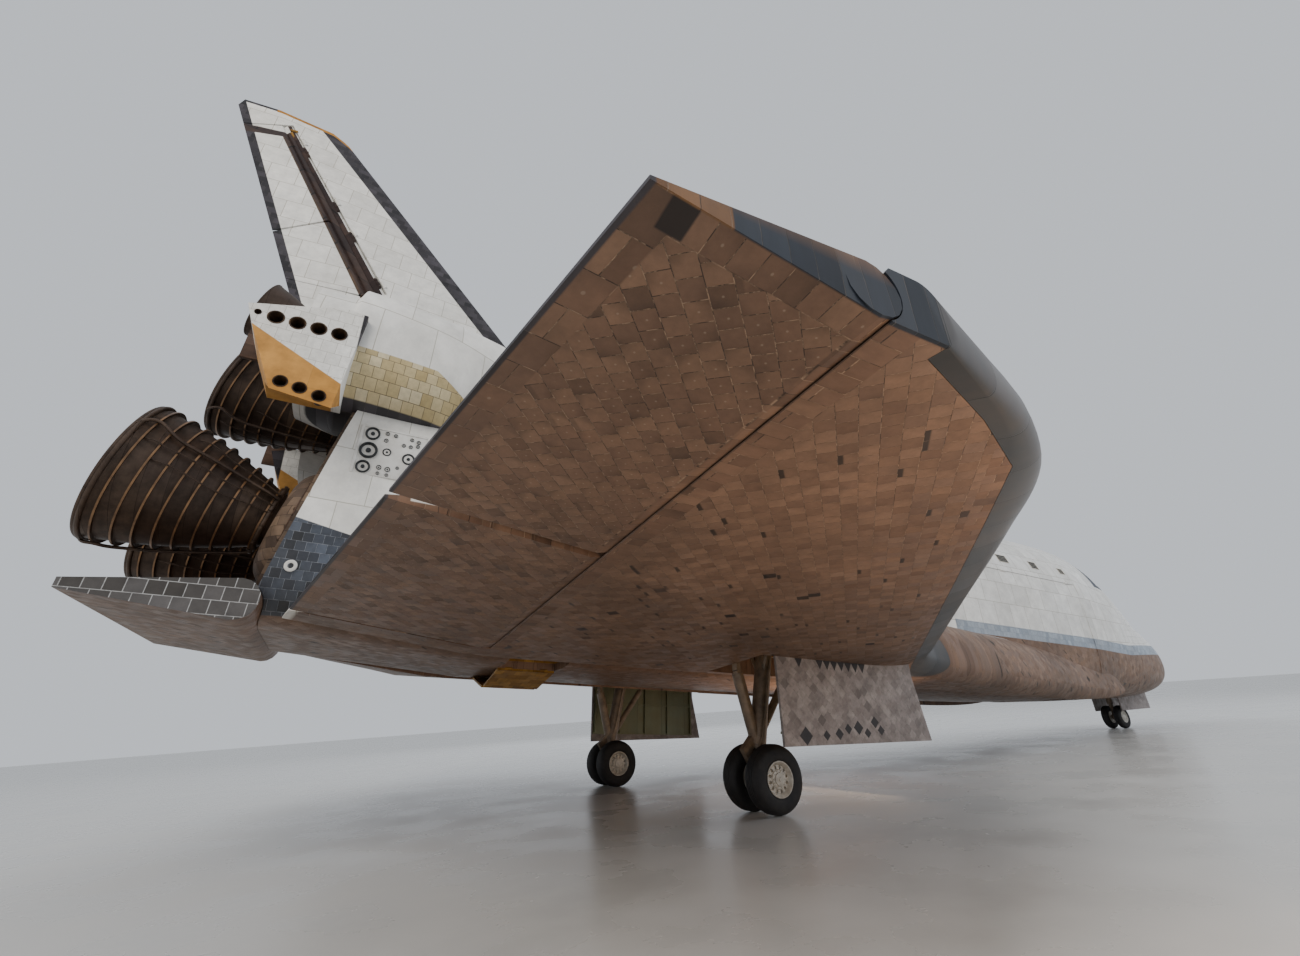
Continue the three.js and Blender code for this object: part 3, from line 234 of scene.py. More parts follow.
# One layer's colour, roughness and height.
def pattern(tree, place, layer, seed):
    rows = tree.nodes.new("ShaderNodeGroup")
    rows.node_tree = tileRows
    flat = spread(tree, place, layer, seed)
    tree.links.new(flat.outputs[0], rows.inputs[0])
    rows.inputs[1].default_value = layer["gap"] / min(tileSize(layer))
    tint = addNode(tree, "ValToRGB", [rows.outputs["Random"]], stops=tintStops(layer["tiles"]))
    weather = addNode(tree, "TexNoise", {"Vector": place["local"], "Scale": 1 / layer.get("patch", 40),
                                         "Detail": 6.0, "Roughness": 0.62})
    dirt = addNode(tree, "MapRange", [weather, 0.38, 0.68, 0.0, layer.get("dirt", 0.35)])
    worn = addNode(tree, "Mix", [dirt, tint, layer.get("dirtTint", "#4c4036")], data_type="RGBA")
    grime = addNode(tree, "TexNoise", {"Vector": flat, "Scale": 2.1, "Detail": 5.0, "Roughness": 0.7})
    speckleAndCornerShade = addNode(tree, "MapRange", [grime, 0.35, 0.75, 1.1, 0.82])
    if layer.get("shade"):  # painted shade: each tile darkens a little towards one of its corners, where a tilted tile catches less light
        corner = addNode(tree, "MapRange", [rows.outputs["Tilt"], 0.03, 0.3, 1.0, 1.0 - layer["shade"]])
        speckleAndCornerShade = reckon(tree, "MULTIPLY", speckleAndCornerShade, corner)
    faded = addNode(tree, "Mix", [1.0, worn, speckleAndCornerShade], data_type="RGBA", blend_type="MULTIPLY")
    if layer.get("dash"):
        share = reckon(tree, "MULTIPLY", rows.outputs["Dash"], layer["dash"])
        faded = addNode(tree, "Mix", [share, faded, "#241d18"], data_type="RGBA")
    if layer.get("dot"):
        share = reckon(tree, "MULTIPLY", rows.outputs["Dot"], layer["dot"])
        faded = addNode(tree, "Mix", [share, faded, "#b3a694"], data_type="RGBA")
    gapTint = layer["gapTint"]
    if layer.get("gapLight"):  # worn edges show the pale silica beside some of the gaps
        gapTint = addNode(tree, "Mix", [addNode(tree, "MapRange", [grime, 0.45, 0.6, 0.0, 1.0]),
                                        layer["gapTint"], layer["gapLight"]], data_type="RGBA")
    jointed = addNode(tree, "Mix", [rows.outputs["Face"], gapTint, faded], data_type="RGBA")
    low, high = layer["rough"]
    rough = addNode(tree, "MapRange", [rows.outputs["Other"], 0.0, 1.0, low, high])
    tilt = reckon(tree, "MULTIPLY", rows.outputs["Tilt"], layer.get("tilt", 0.0))
    fine = reckon(tree, "MULTIPLY", grime, layer.get("grain", 0.03))
    height = reckon(tree, "MULTIPLY_ADD", rows.outputs["Face"], layer.get("depth", 0.12), tilt)
    height = reckon(tree, "ADD", height, fine)
    return jointed, rough, height


softEdge = 0.25  # half the width over which one layer gives way to the next


def within(tree, place, halfSpaces):  # 1 where every half space covers the place, else 0
    inside = None
    for a, b, c, d in halfSpaces:
        spot = addNode(tree, "CombineXYZ", [place["station"], place["aside"], place["height"]])
        reach = addNode(tree, "VectorMath", [spot, (a, b, c)], operation="DOT_PRODUCT")
        share = addNode(tree, "MapRange", [reach.outputs["Value"], d - softEdge, d + softEdge, 0.0, 1.0])
        inside = share if inside is None else reckon(tree, "MULTIPLY", inside, share)
    return inside


def layered(name, layers, metallic=0.0, coat=0.0):
    material = bpy.data.materials.new(name)
    material.use_nodes = True
    tree = material.node_tree
    tree.nodes.clear()
    place = bodyPlace(tree)
    result = None
    for i, layer in enumerate(layers):
        made = pattern(tree, place, layer, 3.0 * i)
        if result is None:
            result = made
            continue
        mask = within(tree, place, layer["where"])
        result = (addNode(tree, "Mix", [mask, result[0], made[0]], data_type="RGBA"),
                  addNode(tree, "Mix", [mask, result[1], made[1]]),
                  addNode(tree, "Mix", [mask, result[2], made[2]]))
    bump = addNode(tree, "Bump", {"Height": result[2], "Strength": 0.6, "Distance": 0.02})
    shader = addNode(tree, "BsdfPrincipled", {"Base Color": result[0], "Roughness": result[1],
                                              "Normal": bump, "Metallic": metallic})
    if coat:
        shader.inputs["Coat Weight"].default_value = coat
        shader.inputs["Coat Roughness"].default_value = 0.2
    addNode(tree, "OutputMaterial", {"Surface": shader})
    return material


# Black tiles: sintered silica blocks with a black glass coating that heat has faded to warm brown.
# They are 6 in (152 mm) square and lie at 45 degrees; the few new ones are still dark.
blackTile = {"size": 6.0, "gap": 0.13, "turn": 45, "face": "belly", "gapTint": "#35281f", "gapLight": "#98806a",
             "tiles": [(0.0, "#2a211c"), (0.004, "#2e2520"), (0.008, "#715848"), (0.5, "#7d6351"), (1.0, "#8a6e5a")],
             "patch": 70, "dirt": 0.55, "dirtTint": "#4f3e33", "rough": (0.42, 0.6), "tilt": 0.45, "shade": 0.2,
             "dash": 0.85}
# The elevons' tiles show their corners in stronger painted shade, the plugs at their middles and wider gaps.
elevonTile = dict(blackTile, gap=0.17, shade=0.34, dot=0.26, dash=0.3, tilt=0.4,
                  tiles=[(0.0, "#5f493b"), (0.08, "#6f5646"), (0.5, "#785d4c"), (1.0, "#866a56")])
edgeTile = dict(elevonTile, turn=0, shade=0.22, dash=0.0, gap=0.16)
sideTile = dict(blackTile, size=6.0, turn=0, face="side", gapTint="#8b8f96", gap=0.14, dash=0.0, shade=0.2,
                gapLight="#5d6168",
                tiles=[(0.0, "#23262c"), (0.3, "#353a44"), (0.8, "#454c58"), (1.0, "#5a6270")],
                dirt=0.3, dirtTint="#4a4640")
# The chine's upper row: white tiles painted a pale blue-grey, as painted shade with a bluish painted reflection.
chineShadeTile = dict(sideTile, gapTint="#6d747c", gapLight="#8b929a", tiles=("#8d98a5", "#a9b3bd"),
                 dirtTint="#77716a", shade=0.1)
# White blanket: quilted silica fabric in panels of about 30 in, stitched and painted.
whiteBlanket = {"size": (30.0, 24.0), "gap": 0.35, "turn": 0, "face": "round", "gapTint": "#aaa59a",
                "tiles": ("#dad9d5", "#e8e7e3"), "patch": 60, "dirt": 0.22,
                "dirtTint": "#aca597", "rough": (0.7, 0.85), "depth": 0.1, "grain": 0.05}
# White tiles: 8 in (203 mm) square, as clean as the blanket. The pods' are stained yellow by soot.
whiteTile = dict(whiteBlanket, size=8.0, gap=0.15, gapTint="#9a958a")
sootyTile = dict(whiteTile, size=(8.0, 7.0), gap=0.22, gapTint="#5d5340",
                 tiles=("#b29f74", "#c4b48c", "#d8cdb0"), dirtTint="#a08b5c", dirt=0.5)
# Dark grey tiles frame the edges of the fin, pods and housings, with gaps that hardly show.
greyTile = dict(sideTile, gapTint="#2f2c2a", gapLight="#55504b",
                tiles=("#232124", "#322f33", "#48444a"), dirtTint="#262327")
# Nickel alloy over the fin's hinge: long plates burnt to dark brown.
sealTile = {"size": (60.0, 14.0), "gap": 0.25, "face": "side", "turn": 33, "gapTint": "#15100e",
            "tiles": ("#2f2421", "#3a2d29", "#483830"), "patch": 16, "dirt": 0.6,
            "dirtTint": "#1f1819", "rough": (0.4, 0.55), "depth": 0.05, "grain": 0.05}
# Golden sealant: one mottled coat without joints.
burntGold = dict(sealTile, size=400.0, gapTint="#7a5424", patch=12, dirt=0.55, dirtTint="#6b4620",
                 tiles=("#b07a2c", "#c08a3a"))
# The wing's and the elevons' outer ends are closed with long dark tiles.
endTile = dict(greyTile, size=(7.0, 40.0), face="side", tiles=("#1c222b", "#2b333f"))

chordSlope = 0.0612  # the wing's rise from root to tip
topSide = [0, -chordSlope, 1, 278.4]
# Trailing edge: its station at the centre plane, and how far it runs forward for each inch outboard.
tailLine = (1525.24, 0.17735)
tailFace = ((1, tailLine[1], 0), (0, 1, 0))
edgeFace = ((0.7071, -0.7071, 0), (0.7071, 0.7071, 0))  # square to the swept leading edge
glove = [-1, 0, 0, -860]  # the wing's long root ahead of the leading edge
# Heights where the dark and the pale tiles end along the body, and where that line starts to rise.
chine = {"dark": 330, "pale": 343, "noseRise": 0.089, "turn": 475}


def aboveChine(height):  # the line runs level along the body and rises towards the nose
    return [[chine["noseRise"], 0, 1, height + chine["noseRise"] * chine["turn"]], [0, 0, 1, height]]


print("finishes")
# Wing: faded tiles laid at 45 degrees, square ones along its edges, and white felt on top.
wingSkin = layered("fadedBlackTileAndFelt", [
    blackTile,
    dict(edgeTile, face=edgeFace, size=(7.5, 6.0), start=(607.4, 0), gap=0.12, dot=0.0,
         where=[[-1, 1, 0, -869.6], [-1, 0, 0, -1375], [0, 1, 0, 150]]),
    dict(edgeTile, size=(14.0, 6.0), start=(1373.5, 0), gap=0.12, dot=0.0,
         where=[[1, 0, 0, 1373.5], [0, 1, 0, 112]]),
    dict(whiteBlanket, face="belly", where=[topSide, [1, -1, 0, 884]]),
    dict(whiteBlanket, face="belly", where=[topSide, [1, -6.32, 0, 110]]),
    dict(blackTile, face="side", where=[[0, 0, 1, 281], glove, [-1, 6.32, 0, -110]]),
    # the chine row's pale blue-grey is painted shade with a bluish painted reflection
    dict(chineShadeTile, where=[[0, 0, 1, chine["dark"]], glove]),
    dict(whiteBlanket, where=[[0, 0, 1, chine["pale"]], glove]),
    dict(endTile, where=[[0, 1, 0, 467.2]]),
])
# Elevons: the same tiles with deeper gaps and corners, square ones round the rim, and white felt on top.
elevonSkin = layered("elevonTileAndFelt", [
    elevonTile,
    dict(edgeTile, size=(30.0, 6.0), start=(1358.0, 0), where=[[-1, 0, 0, -1388]]),
    dict(edgeTile, size=(6.0, 8.4), start=(2.0, 468.3), where=[[0, 1, 0, 459.9]]),
    dict(edgeTile, face=tailFace, size=(9.4, 12.0), start=(tailLine[0], 0),
         where=[[1, tailLine[1], 0, tailLine[0] - 9.4]]),
    dict(whiteBlanket, face="belly", where=[[0, -chordSlope, 1, 279.5], [-0.05, -0.078, 1, 201.33],
                                            [-1, -tailLine[1], 0, -1516], [0, -1, 0, -462]]),
    dict(greyTile, size=(60.0, 60.0), tiles=("#2b221e", "#2b221e"), face="belly",
         where=[[0, 1, 0, 460.2], [0, -1, 0, -468.1], [-1, 0, 0, -1437.2], [1, 0, 0, 1431.2]]),
    dict(blackTile, size=(7.0, 40.0), turn=0, face="side", tiles=("#6b4a2a", "#8a6237"),
         where=[[0, 1, 0, 467.9]]),
    dict(endTile, where=[[0, 1, 0, 467.9], [-1, 0, 0, -1424]]),
    dict(greyTile, size=(60.0, 60.0), face="belly", where=[[1, tailLine[1], 0, tailLine[0] - 1.3]]),
])
# Nose and cabin: brown underneath, a pale row at the chine, and white tile and blanket above.
foreSkin = layered("noseTileAndBlanket", [
    dict(blackTile, face="belly"),
    dict(blackTile, face="side", where=[[0, 0, 1, 294]]),
    # the chine row's pale blue-grey is painted shade with a bluish painted reflection
    dict(chineShadeTile, where=aboveChine(chine["dark"])),
    dict(whiteTile, where=aboveChine(chine["pale"])),
    dict(whiteBlanket, where=aboveChine(chine["pale"]) + [[1, 0, 0, 470], [0, 0, -1, -440]]),
    dict(sideTile, gap=0.1, gapTint="#16171a",  # the dark mask round the windows
         where=[[0, 0, 1, 424], [0, 0, -1, -466], [1, 0, 0, 412], [-1, 0, 0, -498]]),
])
# Body beside the payload bay: brown underneath, and white blanket above. Ahead of the wing the brown
# reaches up to the chine, with a pale row over it.
midSkin = layered("bayTileAndBlanket", [
    blackTile,
    dict(whiteBlanket, where=[[0, 0, 1, 292]]),
    dict(blackTile, face="side", where=[[0, 0, 1, 292], glove]),
    # the chine row's pale blue-grey is painted shade with a bluish painted reflection
    dict(chineShadeTile, where=[[0, 0, 1, chine["dark"]], glove]),
    dict(whiteBlanket, where=[[0, 0, 1, chine["pale"]], glove]),
])
# Payload doors: white quilted blanket all over.
doorSkin = layered("bayDoorBlanket", [whiteBlanket])
# Rear body: brown underneath, blue-grey tiles low on the side, and white blanket above.
aftSkin = layered("rearTileAndBlanket", [
    dict(blackTile, face="belly"),
    dict(sideTile, where=[[0, 0, 1, 286]]),
    dict(whiteBlanket, face="side", size=(34.0, 40.0), where=[[-0.19, 0, 1, 57]]),
])
# Pods: white blanket, sooty yellow tiles at the rear of the side, and dark tiles along the foot.
podSkin = layered("podBlanket", [
    dict(whiteBlanket, size=(40.0, 34.0)),
    dict(sootyTile, face="side", where=[[0, 0, -1, -466], [1, 0, -1.9, 568], [-1, 0, 0, -1520]]),
    dict(greyTile, size=8.0, where=[[0, 0, -1, -436]]),
])
# Thruster housings: clean white tiles, a tan lower side that is painted warm light from below, and dark edges.
housingSkin = layered("thrusterHousingTile", [
    dict(whiteTile, size=9.0, face="side", dirt=0.2),
    # painted light: the lower side is tinted tan to stand for warm lamp light from below
    dict(whiteTile, size=60.0, face="side", gapTint="#a57a3c", patch=14, dirt=0.6, dirtTint="#8c6230",
         tiles=("#b98440", "#c8944e"), where=[[0.487, 0, -1, 308]]),
    dict(greyTile, size=8.0, where=[[1, 0, -0.1, 1519.5], [0, -1, 0, -104]]),
    dict(greyTile, size=8.0, where=[[-1, 0, 0.05, -1486.5]]),
])
# The fin's hinge is a band of scorched nickel between these lines, with a paler stripe at its rear.
hingeAft, hingeFore = [-1, 0, 0.657, -1134.8], [1, 0, -0.702, 1082.8]
hingeEnds = [[-0.5712, 0, -0.8209, -1595.4], [0, 0, 1, 588]]
finSkin = layered("finBlanket", [
    dict(whiteBlanket, size=(26.0, 22.0), face="side", dirt=0.12),
    dict(greyTile, size=(8.0, 6.0), where=[[-1, 0, 1, -801.5]]),
    dict(greyTile, size=(9.0, 6.0), where=[[1, 0, -0.4931, 1291.2], [0, 0, 1, 575]]),
    dict(greyTile, size=5.0, where=[[0, 0, 1, 821.2]]),
    dict(burntGold, where=[[-1, 0, 0, -1667], [0, 0, 1, 820.4]]),
    dict(burntGold, where=[[-1, 0, 0, -1614], [-0.5, 0, 1, 15.2]]),
    dict(sealTile, where=[hingeAft, hingeFore] + hingeEnds),
    dict(sealTile, tiles=("#4c3a2c", "#5d4836"), dirtTint="#2c211b",
         where=[hingeAft, [1, 0, -0.668, 1125.0]] + hingeEnds),
    dict(sealTile, turn=8, where=[[-0.1267, 0, -1, -1003.8], [0.226, 0, 1, 1161.1], hingeFore]),
])
# Housing under the rudder: dark tiles made darker and bluer all over as painted shade, and a golden rear.
chuteSkin = layered("chuteHousingTile", [
    # dark tiles with painted shade: the blue-black stands for the housing's underside in shadow
    dict(greyTile, size=8.0, tiles=("#1c2430", "#2a3442")),
    dict(burntGold, where=[[1, 0, -0.145, 1483.6]]),
])
# Body flap: faded tiles underneath, and separate dark grey tiles with pale gaps on its end.
flapSkin = layered("flapTile", [
    blackTile,
    dict(sideTile, size=(9.0, 8.0), gap=0.3, gapTint="#a9abac", gapLight="#8e8f90", where=[[0, 1, 0, 118.6]],
         tiles=("#3b3836", "#4c4a4a", "#5e5c5d")),
])
# Leading edge: reinforced carbon panels about 24 in wide, dark grey with a faint glassy sheen.
carbonSkin = layered("carbonEdge", [
    {"size": (24.0, 400.0), "gap": 0.22, "turn": 45, "face": "belly", "gapTint": "#08090a",
     "tiles": ("#26282b", "#303235"), "patch": 30, "dirt": 0.5, "dirtTint": "#4a3f36",
     "rough": (0.36, 0.46), "grain": 0.02}], coat=0.15)
# Nose cap: the same carbon in one smooth piece, paler and glassier.
capSkin = layered("carbonNose", [
    {"size": 400.0, "gap": 0.2, "face": "front", "gapTint": "#151719",
     "tiles": ("#4c5559", "#59646a"), "patch": 12, "dirt": 0.4, "dirtTint": "#3d3f40",
     "rough": (0.35, 0.45)}], coat=0.3)
# Base: quilted blanket that the engines have scorched to patchy browns.
shieldSkin = layered("scorchedShieldBlanket", [
    {"size": 7.0, "gap": 0.18, "face": "front", "gapTint": "#2b221b",
     "tiles": ("#4e4036", "#6a5849", "#836e5b"), "patch": 18, "dirt": 0.7,
     "dirtTint": "#3a2e25", "rough": (0.6, 0.8), "grain": 0.08}])
# Fin hinge: nickel plates burnt to dark chocolate, slightly shiny.
sealSkin = layered("scorchedNickelSeal", [
    {"size": (14.0, 60.0), "gap": 0.25, "face": "side", "turn": 30, "gapTint": "#191310",
     "tiles": ("#30231f", "#3b2c27", "#48362d"), "patch": 14, "dirt": 0.6,
     "dirtTint": "#1f1818", "rough": (0.45, 0.6)}], metallic=0.35)
# Engine bells: steel with brown heat tints and sooty patches.
bellSkin = layered("heatTintedNozzleSteel", [
    {"size": (12.0, 300.0), "gap": 0.12, "face": "side", "gapTint": "#2a211c",
     "tiles": ("#4d4039", "#57483e", "#615145"), "patch": 10, "dirt": 0.7,
     "dirtTint": "#2a221e", "rough": (0.42, 0.55)}], metallic=0.55)
# Clip and linings: golden sealant and foil, mottled and a little metallic.
goldSkin = layered("goldenSealant", [
    {"size": 9.0, "gap": 0.15, "face": "belly", "gapTint": "#4b3413",
     "tiles": ("#8a6427", "#a57a33", "#c2964a"), "patch": 9, "dirt": 0.5,
     "dirtTint": "#4f3a1c", "rough": (0.4, 0.55)}], metallic=0.3)
# Collars round the engines: scorched metal plate, reddish brown.
collarSkin = layered("scorchedCollarPlate", [
    {"size": 9.0, "gap": 0.1, "face": "front", "gapTint": "#31241d",
     "tiles": ("#4b382d", "#5d473a", "#6e5648"), "patch": 12, "dirt": 0.6,
     "dirtTint": "#2e231c", "rough": (0.5, 0.65)}], metallic=0.35)
# Main gear doors: small greyed tiles laid at 45 degrees, and a few new black ones among them.
gearDoorSkin = layered("gearDoorTile", [
    dict(sideTile, size=6.0, turn=45, gapTint="#8d8a86", gapLight="#5e5853", shade=0.12, patch=9, dirt=0.6,
         dirtTint="#5d5350", tiles=[(0.0, "#6d6562"), (0.04, "#857c78"), (0.5, "#958b87"), (1.0, "#a39a95")])])
newDoorTile = layered("newBlackTile", [
    dict(sideTile, size=300.0, tiles=("#2b2728", "#2b2728"), patch=6, dirtTint="#4b4444")])
# The inside of the gear doors and the wells: greenish primer on sheet metal.
primerSkin = layered("greenPrimerSheet", [
    {"size": (34.0, 300.0), "gap": 0.25, "face": "side", "gapTint": "#3f4032",
     "tiles": ("#6f735a", "#84876b"), "patch": 22, "dirt": 0.5, "dirtTint": "#6b5a34",
     "rough": (0.3, 0.42), "grain": 0.02}], metallic=0.35)
# Radiators: silvered film in narrow strips, close to a mirror.
radiatorFoil = layered("silverRadiatorFoil", [
    {"size": (4.0, 150.0), "gap": 0.06, "face": "side", "gapTint": "#8b8f92",
     "tiles": ("#d5d8da", "#e4e6e8"), "patch": 30, "dirt": 0.15, "dirtTint": "#aeb1b3",
     "rough": (0.12, 0.22)}], metallic=0.9)
# Windows: almost black glass with a clear coat.
windowGlass = layered("smokedGlass", [
    {"size": 300.0, "gap": 0.01, "face": "side", "gapTint": "#0b0d10",
     "tiles": ("#0d1014", "#0d1014"), "patch": 30, "dirt": 0.1, "dirtTint": "#20262c",
     "rough": (0.05, 0.08), "grain": 0.0, "depth": 0.0}], coat=0.6)


# Paint, rubber or bare metal: one even tone with patches of grime and no tiles that show.
def even(name, tint, gapTint, dirtTint, patch, dirt, rough, metallic=0.0, size=300.0, grain=0.03):
    return layered(name, [{"size": size, "gap": 0.02, "face": "side", "tiles": (tint, tint),
                           "gapTint": gapTint, "dirtTint": dirtTint, "patch": patch, "dirt": dirt,
                           "rough": rough, "grain": grain}], metallic)


# Outer edges of the bells' bands: a paler bronze, a painted highlight along the edges that catch the light.
bandHighlightSkin = even("bronzeBandHighlight", "#8a6a4c", "#6a4c35", "#43332a", 9, 0.7, (0.35, 0.5), 0.6)
# Frames of the small vents: yellowed white enamel.
gearPaint = even("gearEnamel", "#bdb6a6", "#b0a997", "#7a6a52", 5, 0.55, (0.35, 0.45))
# Gear legs, sleeves and pipes: paint that has aged to a greyish bronze.
strutBronze = even("bronzeGearPaint", "#8a7a68", "#6f5c46", "#4a3f36", 7, 0.65, (0.38, 0.5), 0.25)
# Service panels: clean white enamel, with sockets of dark steel dusted with grey.
panelPaint = even("whitePanelEnamel", "#dcdbd7", "#c9c8c4", "#9c948a", 9, 0.4, (0.4, 0.5), size=400.0)
couplingMetal = even("darkCouplingSteel", "#2a2d30", "#26292c", "#4a4b4c", 3, 0.5, (0.35, 0.5), 0.5, size=400.0)
# Thruster liners: metal burnt nearly black with rusty patches.
linerSkin = even("burntThrusterMetal", "#2b221d", "#241d19", "#6b5138", 5, 0.8, (0.4, 0.6), 0.4, size=400.0)
# Wheels: pale grey enamel with brake dust, and dull black rubber.
hubPaint = even("wheelEnamel", "#c4c1b8", "#b9b6ad", "#6f6a60", 3, 0.4, (0.35, 0.45), 0.2)
tyreSkin = even("tyreRubber", "#1c1c1e", "#1a1a1b", "#3a3733", 4, 0.4, (0.62, 0.75), grain=0.05)


finishes = {
    "nose_cap": capSkin, "forward_fuselage": foreSkin, "forward_thruster_module": foreSkin,
    "windscreen": windowGlass, "crew_hatch": foreSkin, "mid_fuselage": midSkin,
    "payload_door": doorSkin, "radiator": radiatorFoil, "wing": wingSkin,
    "wing_leading_edge": carbonSkin, "elevon_inboard": elevonSkin, "elevon_outboard": elevonSkin,
    "aft_fuselage": aftSkin, "base_heat_shield": shieldSkin, "main_engine": bellSkin,
    "main_engine_top": bellSkin, "body_flap": flapSkin, "umbilical_door": goldSkin, "pod": podSkin,
    "thruster_housing": housingSkin, "maneuver_nozzle": bellSkin, "fin": finSkin,
    "chute_housing": chuteSkin, "rudder_spine": finSkin, "rudder_panel_lower": finSkin,
    "rudder_panel_upper": finSkin, "main_gear_leg": strutBronze, "main_wheels": hubPaint,
    "main_tyre_outer": tyreSkin, "main_tyre_inner": tyreSkin, "main_gear_door": gearDoorSkin,
    "nose_gear_leg": strutBronze, "nose_gear_fork": strutBronze, "nose_wheels": hubPaint,
    "nose_tyre": tyreSkin, "nose_gear_door": gearDoorSkin,
}

# Each CAD node gets its finish and shows its curved faces smooth.
for name, node in nodes.items():
    base = name.removesuffix("_left").removesuffix("_right")
    node.data.materials.clear()
    node.data.materials.append(finishes[base])
    node.data.shade_smooth()
    weld = node.modifiers.new("weld", "WELD")
    weld.merge_threshold = 0.0002
    split = node.modifiers.new("split", "EDGE_SPLIT")
    split.split_angle = math.radians(28)


# Shapes, drawn in body inches unless a line says otherwise

def turned(profile, sides):  # distance along z and radius, spun a full turn round z
    bm = bmesh.new()
    corners = [bm.verts.new((radius, 0, along)) for along, radius in profile]
    edges = [bm.edges.new(pair) for pair in zip(corners, corners[1:])]
    bmesh.ops.spin(bm, geom=corners + edges, axis=(0, 0, 1), angle=math.tau, steps=sides, use_merge=True)
    tidyMesh(bm)
    return bm


def tidyMesh(bm, reach=0.004):
    bmesh.ops.remove_doubles(bm, verts=bm.verts, dist=reach)
    bmesh.ops.dissolve_degenerate(bm, edges=bm.edges, dist=reach / 4)
    bmesh.ops.recalc_face_normals(bm, faces=bm.faces)


def bar(radius, length, sides=12, endRadius=None):  # stands on the origin along z
    bm = bmesh.new()
    bmesh.ops.create_cone(bm, cap_ends=True, segments=sides, radius1=radius,
                          radius2=radius if endRadius is None else endRadius, depth=length,
                          matrix=Matrix.Translation((0, 0, length / 2)))
    return bm


def slab(stations, ys, heights, rounded=0.0):
    bm = bmesh.new()
    spans = [(-stations[1], -stations[0]), ys, heights]
    middle = Vector([sum(span) / 2 for span in spans])
    size = Vector([span[1] - span[0] for span in spans])
    bmesh.ops.create_cube(bm, size=1, matrix=Matrix.Translation(middle) @ Matrix.Diagonal(size).to_4x4())
    if rounded:
        bmesh.ops.bevel(bm, geom=bm.edges, offset=rounded, segments=2, profile=0.5,
                        affect="EDGES", material=-1)
    return bm


def turnTo(origin, way):  # carries local z to a direction at a point, with local y upwards
    return Matrix.Translation(origin) @ Vector(way).to_track_quat("Z", "Y").to_matrix().to_4x4()


def moved(bm, matrix):
    bmesh.ops.transform(bm, matrix=matrix, verts=bm.verts)
    return bm


def strut(start, end, radius, endRadius=None, sides=16):
    start, end = Vector(start), Vector(end)
    return moved(bar(radius, (end - start).length, sides, endRadius), turnTo(start, end - start))


def pipe(points, radius, sides=3):  # a round tube through points on one smooth line
    data = bpy.data.curves.new("pipe", "CURVE")
    data.dimensions = "3D"
    line = data.splines.new("NURBS")
    line.points.add(len(points) - 1)
    for knot, point in zip(line.points, points):
        knot.co = (*point, 1)
    line.use_endpoint_u = True
    line.order_u = min(3, len(points))
    data.bevel_depth = radius
    data.bevel_resolution = sides
    data.resolution_u = 5
    data.use_fill_caps = True
    holder = bpy.data.objects.new("pipe", data)
    mesh = bpy.data.meshes.new_from_object(holder)
    bm = bmesh.new()
    bm.from_mesh(mesh)
    bpy.data.objects.remove(holder)
    bpy.data.curves.remove(data)
    bpy.data.meshes.remove(mesh)
    tidyMesh(bm)
    return bm


def meshOf(bm):
    mesh = bpy.data.meshes.new("part")
    bm.to_mesh(mesh)
    bm.free()
    return mesh


# A flat outline drawn out along a line.
def extruded(outline, way):
    bm = bmesh.new()
    face = bm.faces.new([bm.verts.new(corner) for corner in outline])
    grown = bmesh.ops.extrude_face_region(bm, geom=[face])
    bmesh.ops.translate(bm, vec=way, verts=[v for v in grown["geom"] if isinstance(v, bmesh.types.BMVert)])
    bmesh.ops.recalc_face_normals(bm, faces=bm.faces)
    return bm


def sidePrism(outline, ys):  # an outline of station and height, as wide as ys
    return extruded([(-station, ys[0], z) for station, z in outline], (0, ys[1] - ys[0], 0))


def planPrism(outline, heights):  # an outline of station and y, as high as heights
    return extruded([(-station, y, heights[0]) for station, y in outline], (0, 0, heights[1] - heights[0]))


# A skin through rings with as many points each, closed at both ends.
def lofted(rings):
    bm = bmesh.new()
    rings = [[bm.verts.new(point) for point in ring] for ring in rings]
    for first, second in zip(rings, rings[1:]):
        for a in range(len(first)):
            b = (a + 1) % len(first)
            bm.faces.new((first[a], first[b], second[b], second[a]))
    bm.faces.new(rings[0])
    bm.faces.new(rings[-1])
    bmesh.ops.recalc_face_normals(bm, faces=bm.faces)
    return bm


def joined(parts):
    bm = bmesh.new()
    for part in parts:
        mesh = meshOf(part)
        bm.from_mesh(mesh)
        bpy.data.meshes.remove(mesh)
    return bm


def carve(body, cutters, kind="DIFFERENCE"):
    base = bpy.data.objects.new("base", meshOf(body))
    tool = bpy.data.objects.new("tool", meshOf(joined(cutters)))
    for thing in (base, tool):
        scene.collection.objects.link(thing)
    cut = base.modifiers.new("cut", "BOOLEAN")
    cut.operation = kind
    cut.solver = "EXACT"
    cut.use_self = len(cutters) > 1
    cut.object = tool
    result = bpy.data.meshes.new_from_object(base.evaluated_get(bpy.context.evaluated_depsgraph_get()))
    bm = bmesh.new()
    bm.from_mesh(result)
    for thing in (base, tool):
        mesh = thing.data
        bpy.data.objects.remove(thing)
        bpy.data.meshes.remove(mesh)
    bpy.data.meshes.remove(result)
    bmesh.ops.remove_doubles(bm, verts=bm.verts, dist=0.002)
    return bm


def mirrored(bm):
    copy = bm.copy()
    bmesh.ops.scale(copy, vec=(1, -1, 1), verts=copy.verts)
    bmesh.ops.reverse_faces(copy, faces=copy.faces)
    return copy


sharpEdge = math.radians(32)  # faces that meet at a greater angle show an edge


